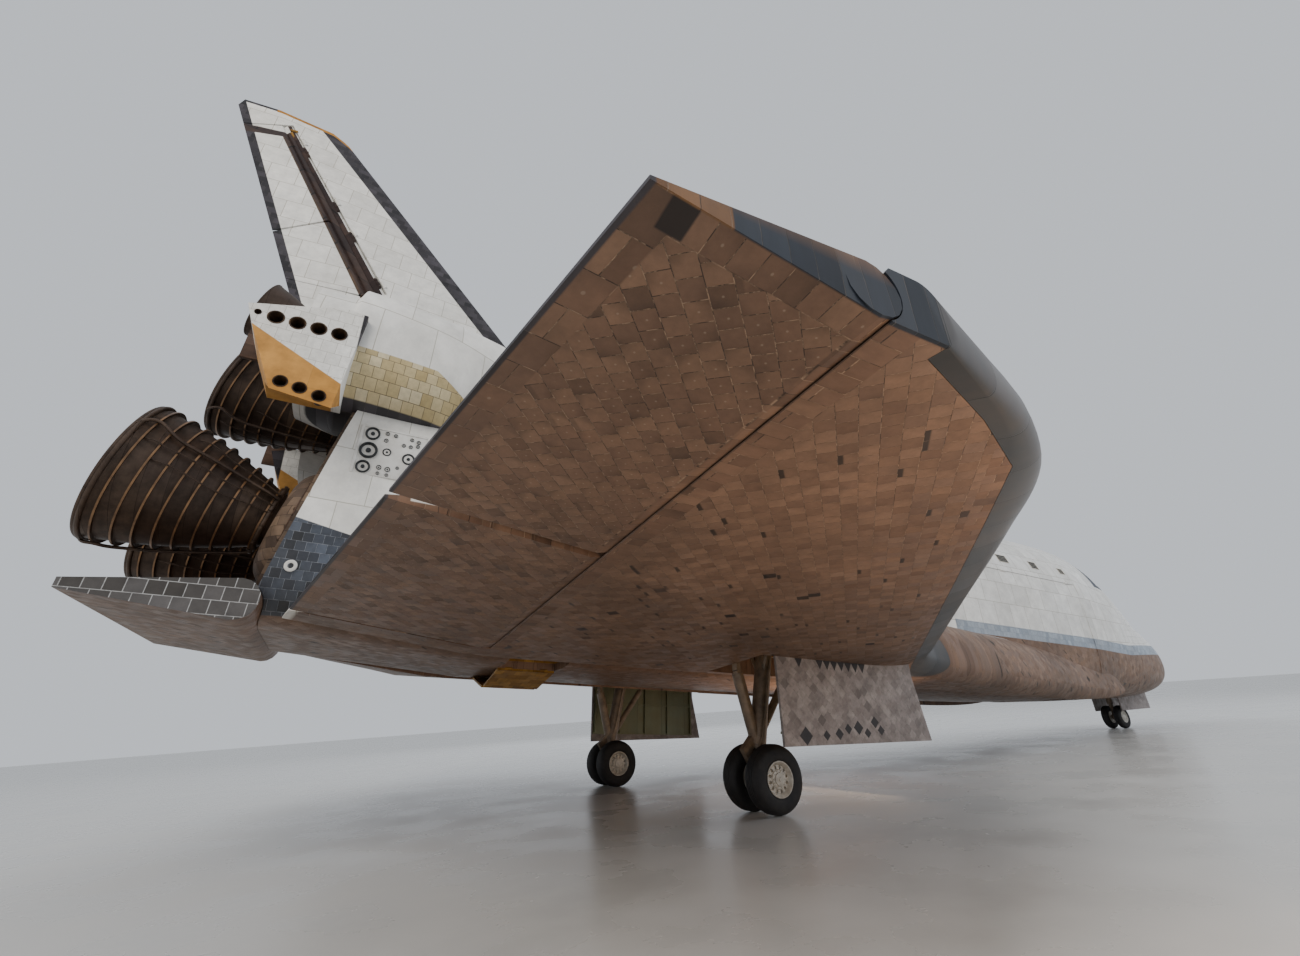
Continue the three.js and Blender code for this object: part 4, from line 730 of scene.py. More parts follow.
def newPiece(name, bm, material, body, replaces=()):
    bmesh.ops.transform(bm, matrix=toModel, verts=bm.verts)
    mesh = meshOf(bm)
    mesh.name = name
    mesh.materials.append(material)
    mesh.shade_smooth()
    mesh.set_sharp_from_angle(angle=sharpEdge)
    piece = bpy.data.objects.new(name, mesh)
    scene.collection.objects.link(piece)
    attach(piece, body)
    if replaces:
        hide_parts(*replaces)


# A piece drawn on the port side and its mirror image to starboard. A body that ends in a low line has
# one on each side too, and so has the node that is replaced.
def newPair(name, bm, material, body="airframe", replaced=None):
    for side, shape in (("left", bm), ("right", mirrored(bm))):
        newPiece(f"{name}_{side}", shape, material, body + side if body.endswith("_") else body,
                 [f"{replaced}_{side}"] if replaced else ())


# Smooth bodies: rows of a short table joined by curves that don't overshoot

def smoothRow(table, key, ease=lambda value: value):
    keys = [ease(row[0]) for row in table]
    t = min(max(ease(key), keys[0]), keys[-1])
    i = next((k for k in range(len(keys) - 2, 0, -1) if keys[k] <= t), 0)

    def slope(k, column):
        return (table[k + 1][column] - table[k][column]) / (keys[k + 1] - keys[k])

    def tangent(k, column):
        if k in (0, len(keys) - 1):
            return slope(min(k, len(keys) - 2), column)
        before, after = slope(k - 1, column), slope(k, column)
        return 2 * before * after / (before + after) if before * after > 0 else 0.0

    step = keys[i + 1] - keys[i]
    s = (t - keys[i]) / step
    row = [key]
    for column in range(1, len(table[0])):
        row.append((2 * s ** 3 - 3 * s ** 2 + 1) * table[i][column]
                   + (s ** 3 - 2 * s ** 2 + s) * step * tangent(i, column)
                   + (3 * s ** 2 - 2 * s ** 3) * table[i + 1][column]
                   + (s ** 3 - s ** 2) * step * tangent(i + 1, column))
    return row


def wrapped(rows, columns, placeOf):  # a grid rolled up, u along the body and v round it, with its ends closed
    bm = bmesh.new()
    bmesh.ops.create_grid(bm, x_segments=rows, y_segments=columns, size=0.5)
    for vert in bm.verts:
        vert.co = placeOf(vert.co.x + 0.5, vert.co.y + 0.5)
    bmesh.ops.remove_doubles(bm, verts=bm.verts, dist=0.004)
    rims = [edge for edge in bm.edges if edge.is_boundary]
    bmesh.ops.holes_fill(bm, edges=rims, sides=0)
    bmesh.ops.recalc_face_normals(bm, faces=bm.faces)
    return bm


def hoopPoint(v, middle, halfWidth, top, wide, bottom, above, below):
    across, up = math.cos(math.tau * v), math.sin(math.tau * v)
    power = 2 / (above if up > 0 else below)
    reach = top - wide if up > 0 else wide - bottom
    return (middle + halfWidth * math.copysign(abs(across) ** power, across),
            wide + reach * math.copysign(abs(up) ** power, up))


# Fuselage
noseTip = 236.5
fuselageSections = [
    # station, half width, top, height of the widest point, bottom, power of the curve above and below it
    (236.5, 0.5, 337.5, 337, 336.5, 2, 2), (240, 14, 352, 337, 322, 2, 2), (250, 27, 362, 337, 312, 2, 2),
    (262, 36.5, 369, 336, 306.3, 2, 2.2), (280, 47, 378, 335, 300, 2, 2.3), (300, 56, 386, 334, 294.5, 2, 2.5),
    (340, 70, 400, 333, 287.5, 2, 2.7), (378, 80, 411, 333, 283.5, 2.1, 2.9),
    (400, 84, 420, 335, 281, 2.2, 3), (420, 87.5, 441, 339, 280, 2.25, 3.1),
    (447, 91.5, 470, 345, 278.5, 2.3, 3.2), (480, 95.5, 489, 355, 276.5, 2.3, 3.4),
    (520, 99.5, 498, 370, 274, 2.2, 3.8), (560, 103.6, 499.7, 388, 272.5, 2.05, 4.6),
    (582, 105, 500, 396, 271.5, 2, 5.5), (640, 105, 500, 396, 270, 2, 7), (800, 105, 500, 396, 267.5, 2, 7),
    (1200, 105, 500, 396, 267.5, 2, 7), (1307, 105, 500, 396, 268.5, 2, 7),
    (1362, 106.3, 500, 396, 268.5, 2.07, 7), (1387, 107, 500, 396, 270.5, 2.1, 7),
    (1500, 112, 500, 398, 280, 2.3, 7), (1545, 115, 500, 400, 283.5, 2.4, 7)]


def fromNose(station):
    return math.sqrt(max(station - noseTip, 0))


def fuselage(start, end, inset=0.0, rows=40, columns=144):
    def placeOf(u, v):
        t = fromNose(start) + u * (fromNose(end) - fromNose(start))
        station = noseTip + t * t
        _, halfWidth, top, wide, bottom, above, below = smoothRow(fuselageSections, station, fromNose)
        y, z = hoopPoint(v, 0, halfWidth - inset, top - inset, wide, bottom + inset, above, below)
        return -station, y, z
    return wrapped(rows, columns, placeOf)


def skinAt(station, z):
    _, halfWidth, top, wide, bottom, above, below = smoothRow(fuselageSections, station, fromNose)
    power = above if z > wide else below
    share = (z - wide) / (top - wide) if z > wide else (wide - z) / (wide - bottom)
    return halfWidth * (1 - share ** power) ** (1 / power)


print("fuselage")
capJoint, cabinJoint, bayJoint = 262, 582, 1307
cabin = {"front": 410, "wall": 6}
panes = [(17, 24, 432, 462), (46, 26, 430, 462), (76, 26, 428, 458)]  # azimuth, width, sill, head
windscreenCentre = (478, 440)  # station and height that the panes are laid round
paneReach = {"inner": 20, "outer": 120}
roofWindows = [((522, 545), (6, 24), (470, 520)), ((570, 590), (8, 24), (462, 480))]
hatch = {"station": 518, "height": 352, "radius": 19.7, "window": 5}
noseWell = {"stations": (304, 392), "halfWidth": 19, "ceiling": 328}
module = {"stations": (300, 384), "halfWidth": 34, "floor": 368, "above": 430}


# A wedge through the skin that cuts one window with rounded corners.
def paneCutter(azimuth, width, sill, head, hand, grow=0.0):
    turn = math.radians(azimuth) * hand
    half = math.tan(math.radians(width / 2))
    station, height = windscreenCentre
    bm = bmesh.new()
    bmesh.ops.create_cube(bm, size=2)
    for vert in bm.verts:
        reach = paneReach["outer"] if vert.co.z > 0 else paneReach["inner"]
        across = vert.co.x * (half * reach + grow)
        level = (head + grow if vert.co.y > 0 else sill - grow)
        vert.co = (-station + reach * math.cos(turn) - across * math.sin(turn),
                   reach * math.sin(turn) + across * math.cos(turn),
                   height + (level - height) * (0.55 + 0.45 * reach / paneReach["outer"]))
    bmesh.ops.recalc_face_normals(bm, faces=bm.faces)
    slant = [edge for edge in bm.edges if edge.calc_length() > 70]
    bmesh.ops.bevel(bm, geom=slant, offset=2.2, segments=4, profile=0.5, affect="EDGES", material=-1)
    return bm


def windowCutters(grow=0.0):
    cuts = [paneCutter(*pane, hand, grow) for pane in panes for hand in (1, -1)]
    for stations, ys, heights in roofWindows:
        for low, high in (ys, (-ys[1], -ys[0])):
            cuts.append(slab((stations[0] - grow, stations[1] + grow), (low - grow, high + grow), heights, 1.5))
    return cuts


def hatchCutter(radius, sides=64):  # square to the port side, through the skin
    return moved(bar(radius, 70, sides), turnTo((-hatch["station"], 60, hatch["height"]), (0, 1, 0)))


def moduleCutter(gap):
    low, high = module["stations"]
    reach = module["halfWidth"] + gap
    return slab((low - gap, high + gap), (-reach, reach), (module["floor"] - gap, module["above"]))


def forwardShell():
    outer = fuselage(capJoint, cabinJoint - 0.02, rows=72)
    return carve(outer, [fuselage(cabin["front"], cabinJoint - cabin["wall"], cabin["wall"], 30, 96)])


newPiece("nose_cap_shell", fuselage(noseTip, capJoint - 0.02, rows=24), capSkin, "airframe",
         ["nose_cap"])
well = noseWell["halfWidth"]
forward = carve(forwardShell(), windowCutters())
forward = carve(forward, [slab(noseWell["stations"], (-well, well), (250, noseWell["ceiling"]))])
forward = carve(forward, [moduleCutter(0.3)])
forward = carve(forward, [hatchCutter(hatch["radius"] + 0.35)])
newPiece("forward_shell", forward, foreSkin, "airframe", ["forward_fuselage"])
door = carve(forwardShell(), [hatchCutter(hatch["radius"])], "INTERSECT")
door = carve(door, [hatchCutter(hatch["window"], 40)])
newPiece("hatch_door", door, foreSkin, "crew_hatch", ["crew_hatch"])

glassDepth = {"outer": 2.4, "inner": 3.3}
layer = carve(fuselage(cabin["front"], 600, glassDepth["outer"], 40, 144),
              [fuselage(cabin["front"] - 20, 620, glassDepth["inner"], 40, 144)])
newPiece("window_panes", carve(layer, windowCutters(0.7), "INTERSECT"), windowGlass, "airframe")

# Thruster block ahead of the windows
forwardThrusters = [
    # station, y, height, then the way they point
    (318, 0, 400, (0.35, 0, 1)), (318, 11, 399, (0.35, 0.1, 1)), (318, -11, 399, (0.35, -0.1, 1)),
    (352, 31, 394, (0, 1, 0.8)), (366, 31, 397, (0, 1, 0.8)), (352, -31, 394, (0, -1, 0.8)),
    (366, -31, 397, (0, -1, 0.8))]
block = carve(fuselage(capJoint, 420, rows=40), [moduleCutter(0)], "INTERSECT")
ports = []
for station, y, z, (x, dy, dz) in forwardThrusters:
    mouth, way = Vector((-station, y, z)), Vector((x, dy, dz))
    ports.append(strut(mouth - 12 * way, mouth + 20 * way, 3.2, 5.0, 32))
newPiece("thruster_block", carve(block, ports), foreSkin, "airframe", ["forward_thruster_module"])

# Payload bay doors with their radiators
bay = {"sill": 414, "doorThickness": 5, "radiatorThickness": 1.5, "gap": 0.256}
doorSpan = (cabinJoint + bay["gap"], bayJoint - bay["gap"])
hingeStations = (600, 740, 945, 1150, 1288)


def arcLayer(stations, outerInset, innerInset, ys, heights):
    layer = carve(fuselage(*stations, outerInset, 24, 144),
                  [fuselage(stations[0] - 15, stations[1] + 15, innerInset, 24, 144)])
    return carve(layer, [slab(stations, ys, heights)], "INTERSECT")


def payloadDoor():
    halfGap, sill = bay["gap"] / 2, bay["sill"]
    leaf = arcLayer(doorSpan, 0, bay["doorThickness"], (halfGap, 120), (sill + halfGap, 510))
    y = skinAt(945, sill)
    knuckles = [strut((-station + 5, y, sill), (-station - 5, y, sill), 1.1) for station in hingeStations]
    return joined([leaf] + knuckles)


newPair("bay_door", payloadDoor(), doorSkin, "payload_door_", "payload_door")
cooler = arcLayer((600, 1290), bay["doorThickness"] + 0.012, bay["doorThickness"] + bay["radiatorThickness"],
                  (9, 110), (432, 500))
newPair("bay_radiator", cooler, radiatorFoil, "payload_door_", "radiator")

# Rear fuselage
rearFace = {"top": (1488.2, 500), "bottom": (1529.9, 272)}
umbilical = {"stations": (1309.5, 1357), "ys": (46, 90), "ceiling": 292}
flap = {"station": 1532, "height": 290, "radius": 12, "halfWidth": 125, "gap": 0.32}


def flapRoom():  # where the round front of the body flap turns
    station, height, reach = flap["station"], flap["height"], flap["halfWidth"]
    return strut((-station, -reach, height), (-station, reach, height), flap["radius"] + flap["gap"], sides=64)


rear = fuselage(bayJoint + 0.02, 1545, rows=30)
slope = math.atan2(rearFace["bottom"][0] - rearFace["top"][0], rearFace["top"][1] - rearFace["bottom"][1])
bmesh.ops.bisect_plane(rear, geom=rear.verts[:] + rear.edges[:] + rear.faces[:], clear_outer=True,
                       plane_co=(-rearFace["top"][0], 0, rearFace["top"][1]),
                       plane_no=(-math.cos(slope), 0, math.sin(slope)))
bmesh.ops.holes_fill(rear, edges=[edge for edge in rear.edges if edge.is_boundary], sides=0)
low, high = umbilical["ys"]
rear = carve(rear, [slab(umbilical["stations"], ys, (200, umbilical["ceiling"]))
                    for ys in ((low, high), (-high, -low))])
rear = carve(rear, [flapRoom()])
newPiece("rear_shell", rear, aftSkin, "airframe", ["aft_fuselage"])

# Pods on the shoulders
def engineFrame(gimbal, pitchUp, yaw):
    up, out = math.radians(pitchUp), math.radians(yaw)
    station, y, z = gimbal
    way = (-math.cos(up) * math.cos(out), math.cos(up) * math.sin(out), math.sin(up))
    return turnTo((-station, y, z), way)


podSections = [
    # station, middle y, half width, top, widest height, bottom
    (1308, 56, 6, 482, 474, 466), (1330, 63, 33, 518, 478, 446), (1365, 68, 43, 534, 480, 440),
    (1410, 74, 52, 543, 480, 436), (1460, 80, 59, 545, 480, 432), (1516, 83, 61, 547, 480, 431),
    (1520, 83, 60.8, 535, 480, 432), (1545, 84, 58, 534, 482, 438)]
podPowers = (2, 2.6)
podNose, podStep = 1308, 1516
# where its rows stand: closer at the nose and at the small step down
podStops = [podNose + (podStep - podNose) * (i / 36) ** 1.5 for i in range(37)]
podStops += [1516.6, 1517.4, 1518.2, 1519, 1520, 1523, 1527, 1531, 1535, 1539, 1542, 1545]
housingSide = [(1508, 488), (1521, 489), (1578, 472), (1571, 456), (1549.5, 413.5), (1513, 409)]
housing = {"ys": (100, 150), "edge": (1513, 409), "edgeSlope": 0.1233, "rise": 0.6, "ceiling": 431}


def podPlace(u, v):
    station = podStops[round(u * 48)]
    row = smoothRow(podSections, station, lambda value: math.sqrt(max(value - podNose, 0)))
    y, z = hoopPoint(v, *row[1:], *podPowers)
    return -station, y, z


def housingUnderside():  # what is cut from the block so that it rises inboard from its lower edge
    rings = []
    for station in (1498, 1590):
        edge = housing["edge"][1] + (station - housing["edge"][0]) * housing["edgeSlope"]
        inner = housing["ys"][1] - (housing["ceiling"] - edge) / housing["rise"]
        corners = ((150.5, edge - 0.3), (150.5, edge - 40), (95, edge - 40), (95, housing["ceiling"]),
                   (inner, housing["ceiling"]))
        rings.append([(-station, y, z) for y, z in corners])
    return lofted(rings)


# station, height, radius and depth of the ports in the housing's side
housingPorts = [(1522 + 12.8 * i, 466.5, 4.6, 13) for i in range(4)]
housingPorts += [(1544.9, 420.1, 3.9, 9), (1533.6, 418.5, 3.9, 9), (1521.8, 415.8, 3.9, 9), (1570.9, 467, 1.9, 5)]


def housingShell():
    holes = [strut((-station, 150.6, height), (-station, 150 - depth, height), 1.02 * radius, 0.85 * radius, 32)
             for station, height, radius, depth in housingPorts]
    return carve(sidePrism(housingSide, housing["ys"]), [housingUnderside()] + holes)


print("pods")
newPair("housing_shell", housingShell(), housingSkin, replaced="thruster_housing")
newPair("housing_fairing", slab((1558, 1583), (100.2, 103.6), (457, 483), 0.6), collarSkin)
podNozzle = engineFrame((1512, 86, 486), 15.8, 6.5)
nozzleRoom = moved(bar(11, 46, 48, 27), podNozzle @ Matrix.Translation((0, 0, 24)))
pod = carve(carve(wrapped(48, 96, podPlace), [sidePrism(housingSide, (99.9, 160))]), [nozzleRoom])
newPair("pod_shell", pod, podSkin, replaced="pod")

# Wings: smooth round noses with a carbon leading edge
print("wings")
wing = {"hinge": 1387, "rise": math.tan(math.radians(3.5)), "chordLine": (182.13, 290.58), "above": 0.36,
        "below": 0.2, "seam": 0.12, "aheadAbove": 38, "aheadBelow": 23}
elevonRoot = {"y": 121, "radius": 14.4, "taper": 0.0175, "span": 347, "droop": 1.9}
ribs = [
    # y, leading edge station, depth below the chord line and height above it at the thickest places
    (96, 530, 18.6, 46), (105, 611, 18.4, 45), (130, 769, 17.6, 42), (150, 896, 16.8, 40), (160, 965, 16.4, 39),
    (172, 1008, 16, 37.5), (200, 1036, 15, 34), (312, 1148, 12.5, 24), (400, 1236, 10.5, 17.5),
    (436, 1275, 9.4, 13.8), (453.7, 1309, 8.8, 11.4), (462, 1338, 8.5, 10), (468.3, 1362, 8.3, 8.9)]
carbonOutline = [(925, 170), (1006, 149), (1022, 160), (1036, 177), (1298, 439), (1330, 452), (1366, 463),
                 (1360, 500), (1250, 500), (930, 190)]
wingHeights = (200, 400)  # well below and above the wing
mainWell = {"stations": (1040, 1196), "ys": (104, 177), "ceiling": 316}


def hingeHeight(y):
    known, height = wing["chordLine"]
    return height + (y - known) * wing["rise"]


def hingeRadius(y):
    return elevonRoot["radius"] - elevonRoot["taper"] * (y - elevonRoot["y"])


def wingPlace(u, v):  # u from root to tip, v over the top from the trailing edge and back underneath
    y = ribs[0][0] + (ribs[-1][0] - ribs[0][0]) * (1 - (1 - u) ** 1.5)
    _, leading, depth, height = smoothRow(ribs, y)
    run, radius, chordLine = wing["hinge"] - leading, hingeRadius(y), hingeHeight(y)
    outboard = max(0, y - elevonRoot["y"]) / elevonRoot["span"]
    tail = (tailLine[0] - tailLine[1] * y, chordLine + elevonRoot["droop"] * outboard ** 2)
    upper = v < 0.5
    t = 2 * v if upper else 2 - 2 * v  # 0 at the trailing edge, 1 at the leading edge
    reach, thickest = (height, wing["above"]) if upper else (-depth, wing["below"])
    radius *= 1 if upper else -1
    if t < 0.1:
        share = max(0, t - 0.016) / 0.084
        flat = tail[1] + (0.6 if upper else -0.6) * min(1, t / 0.015)
        return -(tail[0] + share * (wing["hinge"] - tail[0])), y, flat + share * (chordLine + radius - flat)
    if t < 0.5:
        share = (0.5 - t) / 0.4
        bend = share ** (1.68 if upper else 1.25)
        return (-(leading + run * (thickest + share * (1 - thickest))), y,
                chordLine + reach + (radius - reach) * bend)
    turn = math.pi / 2 * (1 - t) / 0.5
    nose = chordLine - 2
    return -(leading + thickest * run * (1 - math.cos(turn))), y, nose + (chordLine + reach - nose) * math.sin(turn)


def elevonRoom(ends, reach=60):  # the space the elevons swing in, cut square to the hinge line
    above, below = math.radians(wing["aheadAbove"]), math.radians(wing["aheadBelow"])
    corners = [(wing["hinge"], 0), (wing["hinge"] - reach * math.sin(above), reach * math.cos(above)),
               (1560, reach), (1560, -reach),
               (wing["hinge"] - reach * math.sin(below), -reach * math.cos(below))]
    return lofted([[(-station, y - up * wing["rise"], hingeHeight(y) + up) for station, up in corners]
                   for y in ends])


def onElevonHinge(y):
    return -wing["hinge"], y, hingeHeight(y)


wholeWing = wrapped(64, 128, wingPlace)
edge = carve(wholeWing.copy(), [planPrism(carbonOutline, wingHeights)], "INTERSECT")
seam = wing["seam"]
panel = carve(wholeWing, [planPrism([(station + seam, y - seam) for station, y in carbonOutline], wingHeights)])
panel = carve(panel, [elevonRoom((119.5, 475))])
root, tip, gap = 119.6, 475, 0.32
panel = carve(panel, [strut(onElevonHinge(root), onElevonHinge(tip), hingeRadius(root) + gap,
                            hingeRadius(tip) + gap, 64)])
panel = carve(panel, [slab(mainWell["stations"], mainWell["ys"], (200, mainWell["ceiling"]))])
newPair("wing_shell", panel, wingSkin, replaced="wing")
newPair("carbon_edge", edge, carbonSkin, replaced="wing_leading_edge")

# Main engines

print("engines")
engines = [
    # name, gimbal point, pitch up and yaw to port
    ("top", (1445, 0, 443), 16, 0), ("left", (1468.2, 53, 342.6), 11, 5),
    ("right", (1468.2, -53, 342.6), 11, -5)]
bell = {"start": 66, "end": 160, "throat": 18, "exit": 46, "wall": 1.2, "bands": 9, "bandHeight": 2.5,
        "bandWidth": 0.55, "sides": 72, "feedRadius": 1.05}


def bellRadius(distance):
    share = (distance - bell["start"]) / (bell["end"] - bell["start"])
    return bell["throat"] + (bell["exit"] - bell["throat"]) * (1.55 * share - 0.55 * share ** 2)


def onBell(turn, distance, lift):
    radius = bellRadius(distance) + lift
    return (radius * math.cos(math.radians(turn)), radius * math.sin(math.radians(turn)), distance)


def bellShell():
    start, end, width = bell["start"], bell["end"], bell["bandWidth"]
    outside = [(start, bellRadius(start))]
    for middle in bandPlaces():
        low, high = bellRadius(middle - width), bellRadius(middle + width)
        top = bellRadius(middle) + bell["bandHeight"]
        outside += [(middle - width * 1.6, low), (middle - width * 0.5, low + 0.3),
                    (middle - width * 0.4, top - 0.2), (middle + width * 0.4, top - 0.2),
                    (middle + width * 0.5, high + 0.3), (middle + width * 1.6, high)]
    rim = [(end + 1.3 * math.sin(math.radians(a)) - 1.3, bellRadius(end) + 0.2 + 1.1 * math.cos(math.radians(a)))
           for a in range(-60, 91, 30)]
    inside = [(start + share * (end - start), bellRadius(start + share * (end - start)) - bell["wall"])
              for share in (0.99, 0.85, 0.7, 0.55, 0.4, 0.28, 0.16, 0.06)]
    profile = [(start, 0)] + outside + rim + inside + [(start + 3, bell["throat"] - 5), (start + 4, 0)]
    return turned(profile, bell["sides"])


def bandPlaces():
    start, end = bell["start"], bell["end"]
    return [start + 7 + i * (end - start - 12) / (bell["bands"] - 0.5) for i in range(bell["bands"])]


def bandEdges():  # the flat outer edge of each band, proud of its web
    parts = []
    for middle in bandPlaces():
        top, half = bellRadius(middle) + bell["bandHeight"], bell["bandWidth"]
        ring = [(middle - half, top - 0.35), (middle - half, top + 0.1), (middle + half, top + 0.1),
                (middle + half, top - 0.35), (middle - half, top - 0.35)]
        parts.append(turned(ring, bell["sides"]))
    return joined(parts)


def bellPipes(turns):
    end = bell["end"]
    lift = bell["bandHeight"] + bell["feedRadius"]
    parts = []
    for turn in turns:  # feeds from the throat to the rim's manifold
        run = [(turn, 70, 4), (turn, 76, lift + 1), (turn, 88, lift)]
        run += [(turn, distance, lift) for distance in (104, 120, 134)]
        run += [(turn + 5, 143, lift + 0.6), (turn + 9, 149, lift), (turn + 6, end - 5, lift), (turn, end - 2, 1)]
        parts.append(pipe([onBell(*knot) for knot in run], bell["feedRadius"], 4))
    for turn, reach in ((turns[0] - 26, 140), (turns[0] - 12, 150), (turns[0] + 14, 128), (turns[1] + 12, 158)):
        run = [(turn - 2, 69, 3), (turn, 80, lift - 0.3)]  # drain and vent lines
        run += [(turn + 2.5 * math.sin(distance / 9), distance, lift - 0.3) for distance in range(92, reach - 12, 9)]
        run += [(turn + 4, reach - 6, lift), (turn + 3, reach, 0.6)]
        parts.append(pipe([onBell(*knot) for knot in run], 0.45, 2))
    for distance, radius in ((71, 2.0), (156.6, 1.5)):  # manifolds round the throat and the rim
        torus = turned([(distance + radius * math.sin(math.radians(a)),
                         bellRadius(distance) + radius * 0.75 + radius * math.cos(math.radians(a)))
                        for a in range(0, 361, 30)], bell["sides"])
        parts.append(torus)
    for turn in range(0, 360, 30):  # lugs on the throat manifold
        lug = bar(1.1, 3, 8)
        outward = (math.cos(math.radians(turn)), math.sin(math.radians(turn)), 0)
        parts.append(moved(lug, turnTo(onBell(turn, 71, 2.8), outward)))
    return joined(parts)


feedTurns = {"top": (-60, 90, 210), "left": (-22, 100, 200), "right": (22, 200, -100)}
for name, gimbal, pitchUp, yaw in engines:
    place = engineFrame(gimbal, pitchUp, yaw)
    newPiece("engine_bell_" + name, moved(bellShell(), place), bellSkin, "airframe",
             ["main_engine_" + name])
    newPiece("engine_lines_" + name, moved(bellPipes(feedTurns[name]), place), bellSkin, "airframe")
    # the bands' outer edges carry a paler bronze as a painted highlight
    newPiece("engine_bands_" + name, moved(bandEdges(), place), bandHighlightSkin, "airframe")

# Manoeuvring engines on the pods
maneuverBell = {"start": 24, "end": 74, "throat": 9, "exit": 22.5, "wall": 0.6, "sides": 48}


def maneuverShell():
    start, end, throat, mouth, wall, sides = maneuverBell.values()

    def radius(share):
        return throat + (mouth - throat) * (1.5 * share - 0.5 * share ** 2)

    shares = [i / 12 for i in range(13)]
    outside = [(start + share * (end - start), radius(share)) for share in shares]
    lip = [(end - 0.9, mouth + 0.1), (end - 0.7, mouth + 0.45), (end, mouth + 0.4)]
    inside = [(start + share * (end - start), radius(share) - wall) for share in shares[:0:-1]]
    return turned([(start, 0)] + outside[:-1] + lip + inside + [(start + 2, 0)], sides)


newPair("maneuver_bell", moved(maneuverShell(), podNozzle), bellSkin, replaced="maneuver_nozzle")


# Wheels. An axle's local z runs to port, square to the centre plane.

print("wheels")
mainWheel = {"radius": 22.0, "width": 16, "bead": 10.5, "offset": 14, "axle": 3, "grooves": 4, "bolts": 10,
             "slots": 12}
noseWheel = {"radius": 15.82, "width": 8.8, "bead": 7.5, "offset": 8.6, "axle": 1.8, "grooves": 2, "bolts": 8,
             "slots": 8}
axles = {"main": Vector((-5.97657, 3.4544, 0.56031)), "nose": Vector((14.28447, 0, 0.40292))}


def axleFrame(point):
    return turnTo(toModel.inverted() @ Vector(point), (0, 1, 0))


def tyreShape(wheel):
    half = wheel["width"] / 2
    middle = (wheel["radius"] + wheel["bead"] - 0.9) / 2
    reach = wheel["radius"] - middle
    side = []
    for a in range(-90, 91, 10):  # round the section from the bead over the tread
        across, up = math.cos(math.radians(a)), math.sin(math.radians(a))
        side.append((half * across ** 0.62, middle + reach * math.copysign(abs(up) ** 0.72, up)))
    right = [(y, r) for y, r in side if r >= wheel["bead"] - 0.02 and y > 0.45 * half * (r > middle)]
    tread = []
    step = 0.9 * half / (wheel["grooves"] + 1)
    for i in range(wheel["grooves"]):
        y = half * 0.45 - (i + 0.5) * 0.9 * half / wheel["grooves"]
        tread += [(y + 0.3, wheel["radius"]), (y + 0.2, wheel["radius"] - 0.3),
                  (y - 0.2, wheel["radius"] - 0.3), (y - 0.3, wheel["radius"])]
    foot = [(0.8 * half, wheel["bead"]), (0.86 * half, wheel["bead"] + 0.05)]
    profile = foot + right + tread + [(-y, r) for y, r in reversed(foot + right)]
    return turned(profile + [profile[0]], 96)


rimSection = [  # shares of half the tyre's width and of the bead's radius, from inner face to outer
    (-0.8, 0), (-0.8, 0.94), (-0.95, 1.01), (-0.95, 1.09), (-0.868, 1.095), (-0.862, 0.99),
    (0.862, 0.99), (0.868, 1.095), (0.95, 1.09), (0.963, 1.03), (0.8, 0.93), (0.66, 0.87),
    (0.62, 0.84), (0.66, 0.6), (0.76, 0.55), (0.8, 0.41), (0.9, 0.38), (0.925, 0.24), (0.925, 0)]


def rimShape(wheel):
    half, bead = wheel["width"] / 2, wheel["bead"]
    rim = turned([(wheel["offset"] + share * half, r * bead) for share, r in rimSection], 72)
    cutters = []
    for i in range(wheel["slots"]):
        turn = math.tau * (i + 0.5) / wheel["slots"]
        hole = bar(bead * 0.1, half, 16)
        bmesh.ops.scale(hole, vec=(1.25, 0.95, 1), verts=hole.verts)
        spot = (0.725 * bead * math.cos(turn), 0.725 * bead * math.sin(turn), wheel["offset"] + 0.42 * half)
        cutters.append(moved(hole, Matrix.Translation(spot) @ Matrix.Rotation(turn, 4, "Z")))
    parts = [carve(rim, cutters)]
    for i in range(wheel["bolts"]):
        turn = math.tau * i / wheel["bolts"]
        spot = (0.475 * bead * math.cos(turn), 0.475 * bead * math.sin(turn), wheel["offset"] + 0.76 * half)
        parts.append(moved(bar(0.05 * bead, 0.09 * half, 6), Matrix.Translation(spot)))
    parts.append(moved(bar(0.13 * bead, 0.08 * half, 6), Matrix.Translation((0, 0, wheel["offset"] + 0.92 * half))))
    return joined(parts)


def wheelSet(name, wheel, point, body, hubNode, tyreNodes):
    place = axleFrame(point)
    rim = rimShape(wheel)
    other = moved(rim.copy(), Matrix.Rotation(math.pi, 4, "X"))
    axle = moved(bar(wheel["axle"], 2 * wheel["offset"], 24), Matrix.Translation((0, 0, -wheel["offset"])))
    newPiece("hubs_" + name, moved(joined([rim, other, axle]), place), hubPaint, body, [hubNode])
    for way, node in zip((1, -1), tyreNodes):
        rubber = moved(tyreShape(wheel), place @ Matrix.Translation((0, 0, way * wheel["offset"])))
        newPiece("rubber_" + node, rubber, tyreSkin, body, [node])


for side, hand in (("left", 1), ("right", -1)):
    outer, inner = "main_tyre_outer_" + side, "main_tyre_inner_" + side
    wheelSet("main_" + side, mainWheel, axles["main"] * Vector((1, hand, 1)), "main_wheels_" + side,
             "main_wheels_" + side, (outer, inner) if hand > 0 else (inner, outer))
wheelSet("nose", noseWheel, axles["nose"], "nose_wheels", "nose_wheels", ("nose_tyre_left", "nose_tyre_right"))


# Base: the domes round the engines and the bolted collars at their feet

print("base")
domes = [
    # engine, where its line meets the rear face, radius of the dome and of its collar, bolts
    ("top", 52.5, 36, 40.5, 42), ("left", 47.8, 46, 51.2, 54), ("right", 47.8, 46, 51.2, 54)]
domeTop = {"distance": 65.9, "radius": 27}
collarHeight = 4.2
faceNormal = (-math.cos(slope), 0, math.sin(slope))


